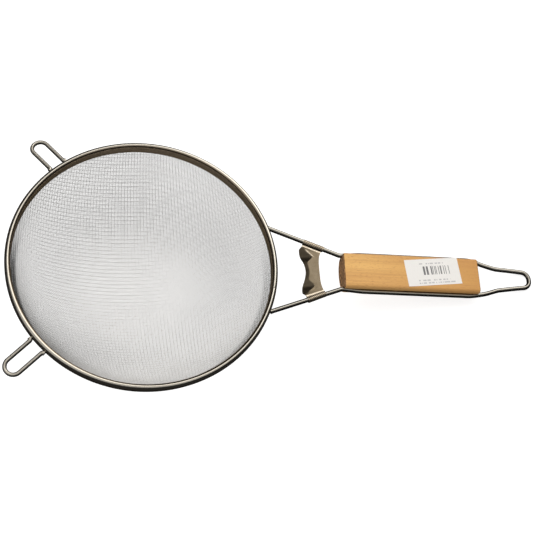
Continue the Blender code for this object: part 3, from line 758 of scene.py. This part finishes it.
def grip_grid(settings):
    """The grip as sections from its front end to its rear end, each in line with the wire where it lies.

    Near either end the whole section shrinks by the end's radius less a quarter circle. The front end bulges
    forward by a parabola, most at the underside. Slow sines keep the faces from being dead flat.
    """
    grip, wire, place = settings.grip, settings.frame, places(settings)
    line = bent_line(wire_corners(settings)[:5], 0.0005)
    near = grip.end * (1 - np.cos(np.linspace(0.0, math.pi / 2, 7)))
    inside = np.linspace(place.wood_front + grip.end, place.wood_rear - grip.end, 141)[1:-1]
    x = np.concatenate([place.wood_front + near, inside, (place.wood_rear - near)[::-1]])
    depth = np.clip(np.minimum(x - place.wood_front, place.wood_rear - x) / grip.end, 0.0, 1.0)
    shrink = grip.end * (1 - np.sqrt(1 - (1 - depth) ** 2))
    groove_clearance = 0.0005
    groove = wire.wire / 2 + groove_clearance
    width, thickness = grip.width / 2 - shrink, grip.thickness / 2 - shrink
    sizes = zip(width, thickness, np.interp(x, line[:, 0], line[:, 1]))
    half = np.stack([grip_section(wide, thick, grip.edge, wire_y, groove) for wide, thick, wire_y in sizes])
    other = half[:, ::-1] * np.array([-1.0, 1.0])
    section = np.concatenate([half, other[:, 1:-1]], axis=1)
    rings = np.concatenate([np.broadcast_to(x[:, None, None], (*section.shape[:2], 1)), section], axis=2)
    sway = 0.00006
    swell = sway * np.sin(rings[..., 0] * 90.0 + rings[..., 1] * 160.0)
    rings[..., 2] += np.where(np.abs(section[..., 1]) > grip.thickness / 2 - 0.0012, swell - sway, 0.0)
    front = 1 - smooth_step((rings[..., 0] - place.wood_front) / 0.006)
    across, depth = section[..., 0] / grip.width * 2, section[..., 1] / grip.thickness
    rings[..., 0] -= 0.0017 * front * np.clip(1 - across**2, 0.0, 1.0) * (0.5 - depth)
    rings[..., 2] -= wire.level
    return rings


def grip_cap(ring, shrinks, level):
    """Rings that shrink from a sawn end's edge towards its middle."""
    middle = np.array([ring[:, 0].mean(), 0.0, level])
    return np.stack([middle + (ring - middle) * part for part in shrinks])


def label_grid(settings):
    """The sticker as a grid: a turned rectangle whose width is measured along the grip's surface.

    Past the flat top, the remaining arc length over the bend's radius is the angle that the paper has gone
    over the edge, less than the wood's own curve, so that it stands off a little. The corners lift by the
    square of how near they are.
    """
    grip, wire = settings.grip, settings.frame
    long = np.linspace(-0.5, 0.5, 61) * grip.label_length
    u, v = np.meshgrid(long, np.linspace(-0.5, 0.5, 41) * grip.label_width, indexing="ij")
    cosine, sine = math.cos(grip.label_turn), math.sin(grip.label_turn)
    x = LABEL_X + u * cosine - v * sine
    s = LABEL_Y + u * sine + v * cosine
    flat = grip.width / 2 - grip.edge
    bend = grip.edge * LABEL_BEND
    bent = np.maximum(np.abs(s) - flat, 0.0) / bend
    y = np.sign(s) * (np.minimum(np.abs(s), flat) + bend * np.sin(bent))
    z = grip.thickness / 2 - wire.level + LABEL_HEIGHT - bend * (1 - np.cos(bent))
    corner = np.clip((np.abs(u) / grip.label_length + np.abs(v) / grip.label_width - 0.9) / 0.1, 0.0, 1.0)
    crinkle = 0.00002 * np.sin(u * 700.0 + v * 300.0) + 0.00002 * np.sin(v * 900.0 - u * 260.0)
    return np.stack([x, y, z + LABEL_LIFT * corner**2 + crinkle], -1)


# Finishes

WHITE = (1.0, 1.0, 1.0, 1.0)


def shade(colour, factor):
    """A colour times a factor, or times one factor for each of its parts."""
    return tuple(part * f for part, f in zip(colour, np.broadcast_to(factor, 3).tolist()))


def rgba(colour):
    """A colour with its alpha, as sockets take it."""
    return (*colour, 1.0)


def new_material(name):
    """A material with nodes, its tree and its shader."""
    material = bpy.data.materials.new(name)
    material.use_nodes = True
    return material, material.node_tree, material.node_tree.nodes["Principled BSDF"]


def fill(tree, node, inputs):
    """Gives each named or numbered input of a node a value or a link."""
    for key, value in inputs.items():
        if isinstance(value, bpy.types.NodeSocket):
            tree.links.new(value, node.inputs[key])
        else:
            node.inputs[key].default_value = value


def add_node(tree, kind, inputs=None, **settings):
    """Adds a shader node, sets its own settings and fills its inputs."""
    node = tree.nodes.new(f"ShaderNode{kind}")
    for key, value in settings.items():
        setattr(node, key, value)
    fill(tree, node, inputs or {})
    return node


def worked_out(tree, operation, *values, **settings):
    """The result of an arithmetic node."""
    return add_node(tree, "Math", dict(enumerate(values)), operation=operation, **settings).outputs[0]


def ranged(tree, value, low, high, start=0.0, end=1.0, **settings):
    """A value carried from the range low to high over to the range start to end, and held at its ends."""
    inputs = {"Value": value, "From Min": low, "From Max": high, "To Min": start, "To Max": end}
    return add_node(tree, "MapRange", inputs, **settings).outputs[0]


def noise(tree, vector, scale, detail=2.0, distortion=0.0):
    """Cloudy noise of a scale, between 0 and 1."""
    inputs = {"Vector": vector, "Scale": scale, "Detail": detail, "Distortion": distortion}
    return add_node(tree, "TexNoise", inputs).outputs["Fac"]


def mixed(tree, weight, first, second):
    """The colour between two colours, by a weight from 0 to 1."""
    return add_node(tree, "Mix", {0: weight, 6: first, 7: second}, data_type="RGBA").outputs[2]


def bumped(tree, height, strength, distance):
    """The normal of a surface that a height raises."""
    inputs = {"Height": height, "Strength": strength, "Distance": distance}
    return add_node(tree, "Bump", inputs).outputs["Normal"]


def layer_weight(tree, name):
    """The value that add_layer gave the points under a name."""
    return add_node(tree, "Attribute", attribute_name=name).outputs["Fac"]


def object_place(tree):
    """Where a point lies on the object."""
    return add_node(tree, "TexCoord").outputs["Object"]


def new_group(name, inputs, outputs):
    """An empty node group whose inputs have defaults, with what it is given and its output node.

    An input's kind follows from its default: none for a vector, a number for a value and four for a colour.
    """
    group = bpy.data.node_groups.new(name, "ShaderNodeTree")
    for label, value in inputs.items():
        kind = "Vector" if value is None else "Float" if isinstance(value, float) else "Color"
        socket = group.interface.new_socket(label, in_out="INPUT", socket_type=f"NodeSocket{kind}")
        if value is not None:
            socket.default_value = value
    for label, kind in outputs.items():
        group.interface.new_socket(label, in_out="OUTPUT", socket_type=f"NodeSocket{kind}")
    return group, group.nodes.new("NodeGroupInput").outputs, group.nodes.new("NodeGroupOutput")


def mottle_group():
    """Clouds of two sizes over a colour: its tone and its roughness wander a little, as on handled metal."""
    group = bpy.data.node_groups.get("mottle")
    if group:
        return group
    inputs = {
        "Vector": None,
        "Colour": (0.5, 0.5, 0.5, 1.0),
        "Stain": (0.3, 0.25, 0.2, 1.0),
        "Scale": 120.0,
        "Amount": 0.3,
        "Roughness": 0.2,
        "Spread": 0.08,
    }
    outputs = {"Colour": "Color", "Roughness": "Float", "Height": "Float"}
    group, given, out = new_group("mottle", inputs, outputs)
    slow = noise(group, given["Vector"], given["Scale"], 3.0)
    quick = noise(group, given["Vector"], worked_out(group, "MULTIPLY", given["Scale"], 9.0), 4.0)
    spots = ranged(group, worked_out(group, "MULTIPLY", slow, quick), 0.12, 0.42)
    weight = worked_out(group, "MULTIPLY", spots, given["Amount"])
    spread = worked_out(group, "MULTIPLY", quick, given["Spread"])
    results = {
        "Colour": mixed(group, weight, given["Colour"], given["Stain"]),
        "Roughness": worked_out(group, "ADD", given["Roughness"], spread),
        "Height": quick,
    }
    fill(group, out, results)
    return group


def grain_group():
    """Wood along +X: long fine lines, slow bands, and the short dark flecks that beech shows."""
    group = bpy.data.node_groups.get("beech grain")
    if group:
        return group
    inputs = {
        "Vector": None,
        "Colour": (0.8, 0.5, 0.2, 1.0),
        "Line": (0.6, 0.3, 0.1, 1.0),
        "Line amount": 0.5,
        "Fleck amount": 0.4,
    }
    group, given, out = new_group("beech grain", inputs, {"Colour": "Color", "Height": "Float"})

    def stretched(along, across, detail, distortion=0.0):
        """Noise that is drawn out along the grip, by a scale along it and one across it."""
        factors = {0: given["Vector"], 1: (along, across, across)}
        turned = add_node(group, "VectorMath", factors, operation="MULTIPLY").outputs[0]
        return noise(group, turned, 1.0, detail, distortion)

    lines = stretched(14.0, 900.0, 5.0, 0.4)
    bands = ranged(group, stretched(5.0, 95.0, 2.0, 0.8), 0.35, 0.7)
    flecks = ranged(group, stretched(330.0, 2100.0, 1.0), 0.60, 0.72)
    both = worked_out(group, "ADD", ranged(group, lines, 0.35, 0.72), bands)
    toned = worked_out(group, "MULTIPLY", both, given["Line amount"])
    flecked = worked_out(group, "MULTIPLY", flecks, given["Fleck amount"])
    weight = worked_out(group, "ADD", toned, flecked, use_clamp=True)
    results = {
        "Colour": mixed(group, weight, given["Colour"], given["Line"]),
        "Height": worked_out(group, "SUBTRACT", lines, flecked),
    }
    fill(group, out, results)
    return group


def metal(name, base, stain, coats, roughness, spread, amount, scale, edge, relief, metallic=1.0):
    """Steel whose tone and gloss wander in clouds, under coats: each a layer and the colour it lays on."""
    material, tree, shader = new_material(name)
    inputs = {
        "Vector": object_place(tree),
        "Colour": rgba(base),
        "Stain": rgba(stain),
        "Scale": scale,
        "Amount": amount,
        "Roughness": roughness,
        "Spread": spread,
    }
    cloud = add_node(tree, "Group", inputs, node_tree=mottle_group()).outputs
    tone = cloud["Colour"]
    for layer, tint in coats:
        tone = mixed(tree, layer_weight(tree, layer), tone, rgba(tint))
    looks = {
        "Base Color": tone,
        "Roughness": cloud["Roughness"],
        "Normal": bumped(tree, cloud["Height"], relief, 0.0002),
        "Metallic": metallic,
        "Specular Tint": rgba(edge),
    }
    fill(tree, shader, looks)
    return material


def plated_steel(settings, name, tone, coats=(), dull=0.0):
    """Bright plating, slightly warm, with faint stains. A coat is a layer and its factor on the plating."""
    plating = settings.finish.plating
    base = shade(plating, tone)
    return metal(
        name,
        base,
        shade(base, 0.72),
        [(layer, shade(plating, factor)) for layer, factor in coats],
        roughness=settings.finish.plating_roughness + dull,
        spread=0.07,
        amount=0.35,
        scale=90.0,
        edge=(0.55, 0.5, 0.42),
        relief=0.12,
    )


def brace_steel(settings):
    """Sheet from the mill: satin, in brownish clouds, with painted shade ahead of the creases and painted
    highlights on the folds and edges.
    """
    base = tuple(settings.finish.brace)
    return metal(
        "brace steel",
        base,
        shade(base, (0.62, 0.58, 0.5)),
        [("facet_shade", shade(base, 0.42)), ("highlight_and_marks", (0.92, 0.82, 0.68))],
        roughness=0.34,
        spread=0.14,
        amount=0.6,
        scale=230.0,
        edge=(0.6, 0.55, 0.48),
        relief=0.4,
    )


def cloth_steel(settings, name, tone, wall_shade):
    """Drawn wire: satin, with slow clouds across the bowl, and painted shade that makes it duller up the wall
    and dark by the rim.
    """
    base = shade(settings.finish.cloth, tone)
    return metal(
        name,
        base,
        shade(base, 0.8),
        [("rimward", shade(base, wall_shade)), ("hem", shade(base, 0.08))],
        roughness=0.45,
        spread=0.12,
        amount=0.5,
        scale=34.0,
        edge=(0.9, 0.9, 0.88),
        relief=0.0,
        metallic=0.15,
    )


def beech_wood(settings):
    """Beech under a thin lacquer, darker towards the rear as painted shade, its sawn ends darker and its
    grooves painted dark as shade, with rings and pores.
    """
    material, tree, shader = new_material("beech wood")
    tint = settings.finish
    place = object_place(tree)
    upright = {"Vector": place, "Rotation": (0.0, -places(settings).tilt, 0.0)}
    along = add_node(tree, "Mapping", upright).outputs[0]
    # Painted shade: the wood darkens from the grip's front to its rear
    rearward = ranged(tree, add_node(tree, "SeparateXYZ", {"Vector": place}).outputs["X"], 0.07, 0.16)
    inputs = {
        "Vector": along,
        "Colour": mixed(tree, rearward, rgba(tint.wood), rgba(tint.wood_rear)),
        "Line": rgba(tint.wood_line),
        "Line amount": 0.42,
        "Fleck amount": 0.8,
    }
    grain = add_node(tree, "Group", inputs, node_tree=grain_group()).outputs
    pores = noise(tree, place, 520.0, 3.0)
    rings = {"Vector": along, "Scale": 150.0, "Distortion": 6.0, "Detail": 2.0, "Detail Scale": 1.5}
    rings = add_node(tree, "TexWave", rings, bands_direction="Z").outputs["Fac"]
    pale = ranged(tree, worked_out(tree, "MULTIPLY", pores, rings), 0.1, 0.5)
    end = mixed(tree, pale, rgba(tint.end_grain), rgba(shade(tint.end_grain, 5.0)))
    looks = {
        "Base Color": mixed(tree, layer_weight(tree, "sawn_and_groove_shade"), grain["Colour"], end),
        "Roughness": ranged(tree, pores, 0.0, 1.0, 0.42, 0.58),
        "Coat Weight": 0.12,
        "Coat Roughness": 0.3,
        "Normal": bumped(tree, grain["Height"], 0.35, 0.00012),
    }
    fill(tree, shader, looks)
    return material


def sticker_paper(settings):
    """White paper with a block of plain grey bars and rows of pale dashes, laid out by its UV map."""
    material, tree, shader = new_material("sticker paper")
    sheet = add_node(tree, "UVMap", uv_map="sheet").outputs[0]
    across = add_node(tree, "SeparateXYZ", {"Vector": sheet}).outputs
    u, v = across["X"], across["Y"]

    def between(value, low, high):
        """1 where a value lies between two others."""
        return worked_out(tree, "COMPARE", value, (low + high) / 2, (high - low) / 2)

    def printed(columns, seed, threshold, left, right, bottom, top):
        """Columns that ink or skip by chance, inside a box of the sheet."""
        column = worked_out(tree, "FLOOR", worked_out(tree, "MULTIPLY", u, columns))
        seeded = {"W": worked_out(tree, "ADD", column, seed)}
        chance = add_node(tree, "TexWhiteNoise", seeded, noise_dimensions="1D").outputs["Value"]
        inked = worked_out(tree, "GREATER_THAN", chance, threshold)
        inside = worked_out(tree, "MULTIPLY", between(u, left, right), between(v, bottom, top))
        return worked_out(tree, "MULTIPLY", inked, inside)

    bars = printed(84.0, 3.0, 0.5, 0.30, 0.82, 0.40, 0.72)
    faint = printed(64.0, 11.0, 0.35, 0.20, 0.80, 0.17, 0.22)
    for row in ((17.0, 0.3, 0.26, 0.74, 0.80, 0.845), (29.0, 0.3, 0.15, 0.88, 0.07, 0.12)):
        faint = worked_out(tree, "MAXIMUM", faint, printed(64.0, *row))
    fibre = noise(tree, object_place(tree), 700.0)
    paper = tuple(settings.finish.paper)
    ground = mixed(tree, fibre, rgba(paper), rgba(shade(paper, 0.95)))
    ground = mixed(tree, worked_out(tree, "MULTIPLY", faint, 0.55), ground, (0.32, 0.32, 0.34, 1.0))
    ground = mixed(tree, worked_out(tree, "MULTIPLY", bars, 0.9), ground, (0.10, 0.10, 0.11, 1.0))
    fill(tree, shader, {"Base Color": ground, "Roughness": 0.5, "Specular IOR Level": 0.35})
    return material


def studio_floor(settings):
    """Pale matt floor: lifted to white for the camera, and seen by metal as a dim room in front of it."""
    material, tree, shader = new_material("studio floor")
    looks = {"Base Color": rgba(settings.finish.floor), "Roughness": 1.0, "Specular IOR Level": 0.0}
    fill(tree, shader, looks)
    path = add_node(tree, "LightPath").outputs
    lift = worked_out(tree, "MULTIPLY", path["Is Camera Ray"], 0.78)
    white = add_node(tree, "Emission", {"Color": WHITE, "Strength": lift}).outputs[0]
    lit = add_node(tree, "AddShader", {0: shader.outputs[0], 1: white}).outputs[0]
    back = add_node(tree, "SeparateXYZ", {"Vector": object_place(tree)}).outputs["Y"]
    depth = ranged(tree, back, 0.25, 0.6, 0.03, 0.4, interpolation_type="SMOOTHSTEP")
    dim = add_node(tree, "Emission", {"Color": (1.0, 0.95, 0.88, 1.0), "Strength": depth}).outputs[0]
    seen = add_node(tree, "MixShader", {0: path["Is Glossy Ray"], 1: lit, 2: dim}).outputs[0]
    fill(tree, tree.nodes["Material Output"], {"Surface": seen})
    return material


def studio_world():
    """White to the camera, an even light to matt surfaces, and to metal a room that is dark in front.

    The room that metal sees follows the direction: it brightens from front to back and upwards, has one glow
    behind, and falls off to the left and to the right.
    """
    world = bpy.data.worlds.new("studio")
    world.use_nodes = True
    tree = world.node_tree
    tree.nodes.clear()
    facing = {"Vector": add_node(tree, "TexCoord").outputs["Generated"]}
    facing = add_node(tree, "SeparateXYZ", facing).outputs
    x, y, z = (facing[axis] for axis in "XYZ")

    def product(first, *others):
        """All the values multiplied."""
        for other in others:
            first = worked_out(tree, "MULTIPLY", first, other)
        return first

    def eased(value, *limits):
        """A value carried over by an eased step."""
        return ranged(tree, value, *limits, interpolation_type="SMOOTHSTEP")

    def background(colour, strength):
        """A background of a colour and a strength."""
        return add_node(tree, "Background", {"Color": colour, "Strength": strength}).outputs[0]

    def chosen(ray, others, these):
        """One shader for a kind of ray, and another for the rest."""
        return add_node(tree, "MixShader", {0: path[ray], 1: others, 2: these}).outputs[0]

    behind = eased(worked_out(tree, "MULTIPLY_ADD", y, 1.7, z), -0.25, 0.35, 0.04, 0.68)
    above = eased(z, 0.0, 0.5, 0.3, 1.0)
    left = eased(worked_out(tree, "SUBTRACT", y, x), 0.45, 0.7, 1.0, 0.05)
    right = eased(x, 0.5, 0.75, 1.0, 0.08)
    aside = worked_out(tree, "SUBTRACT", worked_out(tree, "MULTIPLY_ADD", y, -0.45, x), 0.22)
    aside = eased(worked_out(tree, "ABSOLUTE", aside), 0.12, 0.42, 1.0, 0.0)
    glow = product(eased(y, 0.28, 0.44, 0.0, 1.9), aside, eased(x, 0.62, 0.76, 1.0, 0.1))
    room = product(worked_out(tree, "ADD", product(behind, left, right), glow), above)
    path = add_node(tree, "LightPath").outputs
    shown = chosen("Is Glossy Ray", background(WHITE, 0.5), background((1.0, 0.96, 0.9, 1.0), room))
    shown = chosen("Is Camera Ray", shown, background(WHITE, 1.0))
    add_node(tree, "OutputWorld", {"Surface": shown})
    return world


# Operators, one for each piece or group of like pieces


class STRAINER_OT_add_rim(bpy.types.Operator):
    """Adds the folded rim and the hoop of wire inside it"""

    bl_idname = "strainer.add_rim"
    bl_label = "Rim"

    def execute(self, context):
        settings = context.scene.strainer
        rim = settings.rim
        grid = rim_grid(settings)
        quads = grid_faces(*grid.shape[:2], loop_rows=True, loop_columns=True)
        strip = build_mesh("rim_strip", settle(grid, settings), quads)
        out = np.hypot(grid[..., 0], grid[..., 1])
        add_layer(strip, "inner_side_shade", smooth_step((rim.radius - rim.bead * 0.5 - out) / (rim.bead * 0.35)))
        # Painted shade: the plating is darker on the side towards the cloths
        steel = plated_steel(settings, "rim steel", 1.0, [("inner_side_shade", (0.6, 0.5, 0.4))])
        add_piece(strip, steel, "plated_steel", "rim_band")
        around, turn = (np.arange(count) * 2 * math.pi / count for count in (240, 12))
        out = rim.radius - rim.bead / 2 + CORE_WIRE_RADIUS * np.cos(turn)
        hoop = round_about(out, CORE_WIRE_RADIUS * np.sin(turn) - rim.bead / 2, around[:, None])
        quads = grid_faces(*hoop.shape[:2], loop_rows=True, loop_columns=True)
        hoop = build_mesh("rim_hoop", settle(hoop, settings), quads)
        add_piece(hoop, plated_steel(settings, "core wire", 0.6), "plated_steel", "rim_core_wire")
        return {"FINISHED"}


def weaves(settings):
    """The two cloths, each with its finish, its wire, where it lies and how it is built.

    The steps are stations from one crossing wire to the next, and the parts are pieces of each layer.
    """
    cloth, place = settings.cloth, places(settings)
    coarse = SimpleNamespace(
        name="coarse_cloth",
        node="support_mesh",
        # Painted light: the coarse wire is paler than the fine wire, against the shade that the fine cloth
        # casts on it
        finish=cloth_steel(settings, "coarse wire cloth", 1.12, 0.95),
        wire=cloth.coarse_wire,
        finer=1,
        phase=0.38,
        turn=cloth.coarse_turn,
        dome=place.coarse_dome,
        reach=0.129,
        steps=2,
        parts=1,
    )
    fine = SimpleNamespace(
        name="fine_cloth",
        node="fine_mesh",
        finish=cloth_steel(settings, "fine wire cloth", 1.0, 0.5),
        wire=cloth.fine_wire,
        finer=cloth.finer,
        phase=0.0,
        turn=cloth.fine_turn,
        dome=place.fine_dome,
        reach=0.128,
        steps=1,
        parts=cloth.pieces,
    )
    return coarse, fine


class STRAINER_OT_add_cloths(bpy.types.Operator):
    """Adds the two woven wire cloths of the bowl, every wire passing over and under the others"""

    bl_idname = "strainer.add_cloths"
    bl_label = "Wire cloths"

    def execute(self, context):
        settings = context.scene.strainer
        cloths = weaves(settings)
        pitches = (settings.cloth.coarse_warp, settings.cloth.coarse_weft)
        for direction, across in (("warp", False), ("weft", True)):
            for weave in cloths:
                pitch, other = (size / weave.finer for size in (pitches[::-1] if across else pitches))
                count = int(weave.reach / pitch) + 1
                parts = split_evenly(np.arange(-count, count + 1), weave.parts)
                for part, wires in enumerate(parts, start=1):
                    name = f"{weave.name}_{direction}" + (f"_{part}" if len(parts) > 1 else "")
                    mesh = cloth_mesh(name, wires, pitch, other, weave, not across, settings)
                    add_piece(mesh, weave.finish, "wire_cloth", weave.node)
        return {"FINISHED"}


class STRAINER_OT_add_frame(bpy.types.Operator):
    """Adds the bent wire that runs from the rim, along the grip, round the loop and back"""

    bl_idname = "strainer.add_frame"
    bl_label = "Handle frame"

    def execute(self, context):
        settings = context.scene.strainer
        rings = settle(frame_rings(settings), settings)
        mesh = tube_mesh("frame_wire", rings)
        # Painted shade: the wire's steep sides are darkened and its crest keeps the bright plating
        add_layer(mesh, "flank", 0.8 * flank_weight(rings))
        steel = plated_steel(settings, "frame wire", 0.7, [("flank", 0.2)])
        add_piece(mesh, steel, "plated_steel", "handle_frame")
        return {"FINISHED"}


class STRAINER_OT_add_brace(bpy.types.Operator):
    """Adds the stamped plate that is folded and rolled round both wires"""

    bl_idname = "strainer.add_brace"
    bl_label = "Brace plate"

    def execute(self, context):
        settings = context.scene.strainer
        grid, facet_shade, highlight_and_marks = brace_grid(settings)
        points = settle(skewed(grid, settings), settings)
        mesh = sheet_mesh("brace_stamping", points, settings.brace.sheet, sharp=50.0)
        # Painted shade on the slopes ahead of the crease, and painted highlights on the folds, edges and
        # sleeves
        for layer, values in (("facet_shade", facet_shade), ("highlight_and_marks", highlight_and_marks)):
            add_layer(mesh, layer, np.concatenate([values, values[:, ::-1]], axis=1))
        add_piece(mesh, brace_steel(settings), "brace_steel", "brace_plate")
        return {"FINISHED"}


class STRAINER_OT_add_grip(bpy.types.Operator):
    """Adds the wooden grip with its grooves and sawn ends"""

    bl_idname = "strainer.add_grip"
    bl_label = "Grip"

    def execute(self, context):
        settings = context.scene.strainer
        rings = grip_grid(settings)
        shrinks = np.array([0.9, 0.75, 0.6, 0.45, 0.3, 0.15])
        level = -settings.frame.level
        front = grip_cap(rings[0], shrinks[::-1], level)
        rear = grip_cap(rings[-1], shrinks, level)
        rows = np.concatenate([front, rings, rear])
        # The sawn ends with the first rings of their rounding, and the groove on either side, darkened as
        # painted shade round the wire
        sawn_and_groove_shade = np.zeros(rows.shape[:2])
        sawn_and_groove_shade[: len(front) + 4] = 1.0
        sawn_and_groove_shade[-len(rear) - 4 :] = 1.0
        start, stop = sum(GRIP_SAMPLES[:3]), sum(GRIP_SAMPLES)
        sawn_and_groove_shade[:, start:stop] = 1.0
        sawn_and_groove_shade[:, 1 - stop : 1 - start] = 1.0
        columns = rows.shape[1]
        quads = grid_faces(len(rows), columns, loop_columns=True)
        last = (len(rows) - 1) * columns + np.arange(columns)[::-1]
        points = settle(skewed(rows, settings), settings)
        mesh = build_mesh("grip_wood", points, quads, [np.arange(columns), last], sharp=60.0)
        add_layer(mesh, "sawn_and_groove_shade", sawn_and_groove_shade)
        add_piece(mesh, beech_wood(settings), "beech_wood", "wood_handle")
        return {"FINISHED"}


class STRAINER_OT_add_label(bpy.types.Operator):
    """Adds the paper sticker on the grip, with plain bars and dashes"""

    bl_idname = "strainer.add_label"
    bl_label = "Sticker"

    def execute(self, context):
        settings = context.scene.strainer
        grid = label_grid(settings)
        mesh = sheet_mesh("sticker", settle(skewed(grid, settings), settings), LABEL_SHEET)
        u, v = (np.linspace(0.0, 1.0, count) for count in grid.shape[:2])
        sheet = np.stack(np.meshgrid(u, v, indexing="ij"), -1)
        sheet = np.concatenate([sheet, sheet[:, ::-1]], axis=1).reshape(-1, 2)
        corners = np.empty(len(mesh.loops), dtype=np.int32)
        mesh.loops.foreach_get("vertex_index", corners)
        layer = mesh.uv_layers.new(name="sheet")
        layer.data.foreach_set("uv", sheet[corners].astype(np.float32).ravel())
        add_piece(mesh, sticker_paper(settings), "beech_wood")
        return {"FINISHED"}


class STRAINER_OT_add_rests(bpy.types.Operator):
    """Adds the two wire rests on the far side of the rim"""

    bl_idname = "strainer.add_rests"
    bl_label = "Pot rests"

    def execute(self, context):
        settings = context.scene.strainer
        # Painted shade: each rest's steep sides are darkened and its crest keeps the bright plating
        steel = plated_steel(settings, "rest wire", 1.6, [("flank", 0.3)], dull=0.28)
        for number, direction in enumerate((130.7, 223.3), start=1):
            rings = settle(rest_rings(settings, math.radians(direction)), settings)
            mesh = tube_mesh(f"rest_wire_{number}", rings)
            add_layer(mesh, "flank", flank_weight(rings))
            add_piece(mesh, steel, "plated_steel", f"pot_rest_{number}")
        return {"FINISHED"}


class STRAINER_OT_set_stage(bpy.types.Operator):
    """Lays the floor, lights the studio and places the camera where the photograph was taken from"""

    bl_idname = "strainer.set_stage"
    bl_label = "Studio"

    def execute(self, context):
        scene = context.scene
        settings = scene.strainer
        size = np.linspace(-3.0, 3.0, 5)
        x, y = np.meshgrid(size, size, indexing="ij")
        mesh = bpy.data.meshes.new("floor")
        mesh.from_pydata(np.stack([x, y, 0 * x], -1).reshape(-1, 3), [], grid_faces(5, 5).tolist())
        mesh.materials.append(studio_floor(settings))
        floor = bpy.data.objects.new("floor", mesh)
        scene.collection.objects.link(floor)
        scene.world = studio_world()

        lamp = bpy.data.lights.new("softbox", "AREA")
        lamp.shape = "RECTANGLE"
        lamp.size, lamp.size_y = 1.6, 1.2
        lamp.energy = 10.0
        lamp.color = (1.0, 0.97, 0.93)
        item = bpy.data.objects.new("softbox", lamp)
        scene.collection.objects.link(item)
        item.location = LAMP_PLACE
        item.rotation_euler = (Vector(LAMP_AIM) - Vector(LAMP_PLACE)).to_track_quat("-Z", "Y").to_euler()
        item.visible_glossy = False

        camera = bpy.data.cameras.new("camera")
        camera.sensor_width = 36.0
        camera.lens = camera.sensor_width * FOCAL_PIXELS / FRAME_PIXELS
        camera.clip_start = 0.01
        item = bpy.data.objects.new("camera", camera)
        scene.collection.objects.link(item)
        turn = np.array(RIM_TURN)
        swing = Matrix.Rotation(float(np.linalg.norm(turn)), 3, Vector(unit(turn))).transposed()
        lay = Matrix.Translation(RIM_PLACE) @ Matrix.Rotation(places(settings).tilt, 4, "Y")
        item.matrix_world = lay @ Matrix.Translation(swing @ Vector(CAMERA_FROM_RIM)) @ swing.to_4x4()
        scene.camera = item
        scene.view_settings.view_transform = "Standard"
        return {"FINISHED"}


OPERATORS = (
    STRAINER_OT_add_rim,
    STRAINER_OT_add_cloths,
    STRAINER_OT_add_frame,
    STRAINER_OT_add_brace,
    STRAINER_OT_add_grip,
    STRAINER_OT_add_label,
    STRAINER_OT_add_rests,
    STRAINER_OT_set_stage,
)


class STRAINER_PT_sidebar(bpy.types.Panel):
    """Lists the strainer's pieces and its studio"""

    bl_idname = "STRAINER_PT_sidebar"
    bl_label = "Mesh Strainer"
    bl_space_type = "VIEW_3D"
    bl_region_type = "UI"
    bl_category = "Strainer"

    def draw(self, context):
        for operator in OPERATORS:
            self.layout.operator(operator.bl_idname)


CLASSES = (
    RimSizes,
    ClothSizes,
    FrameSizes,
    RestSizes,
    BraceSizes,
    GripSizes,
    Finishes,
    StrainerSettings,
    *OPERATORS,
    STRAINER_PT_sidebar,
)


def register():
    for item in CLASSES:
        bpy.utils.register_class(item)
    bpy.types.Scene.strainer = PointerProperty(type=StrainerSettings)


def unregister():
    del bpy.types.Scene.strainer
    for item in reversed(CLASSES):
        bpy.utils.unregister_class(item)


def main():
    register()
    for operator in OPERATORS:
        group, name = operator.bl_idname.split(".")
        getattr(getattr(bpy.ops, group), name)()


if __name__ == "__main__":
    main()
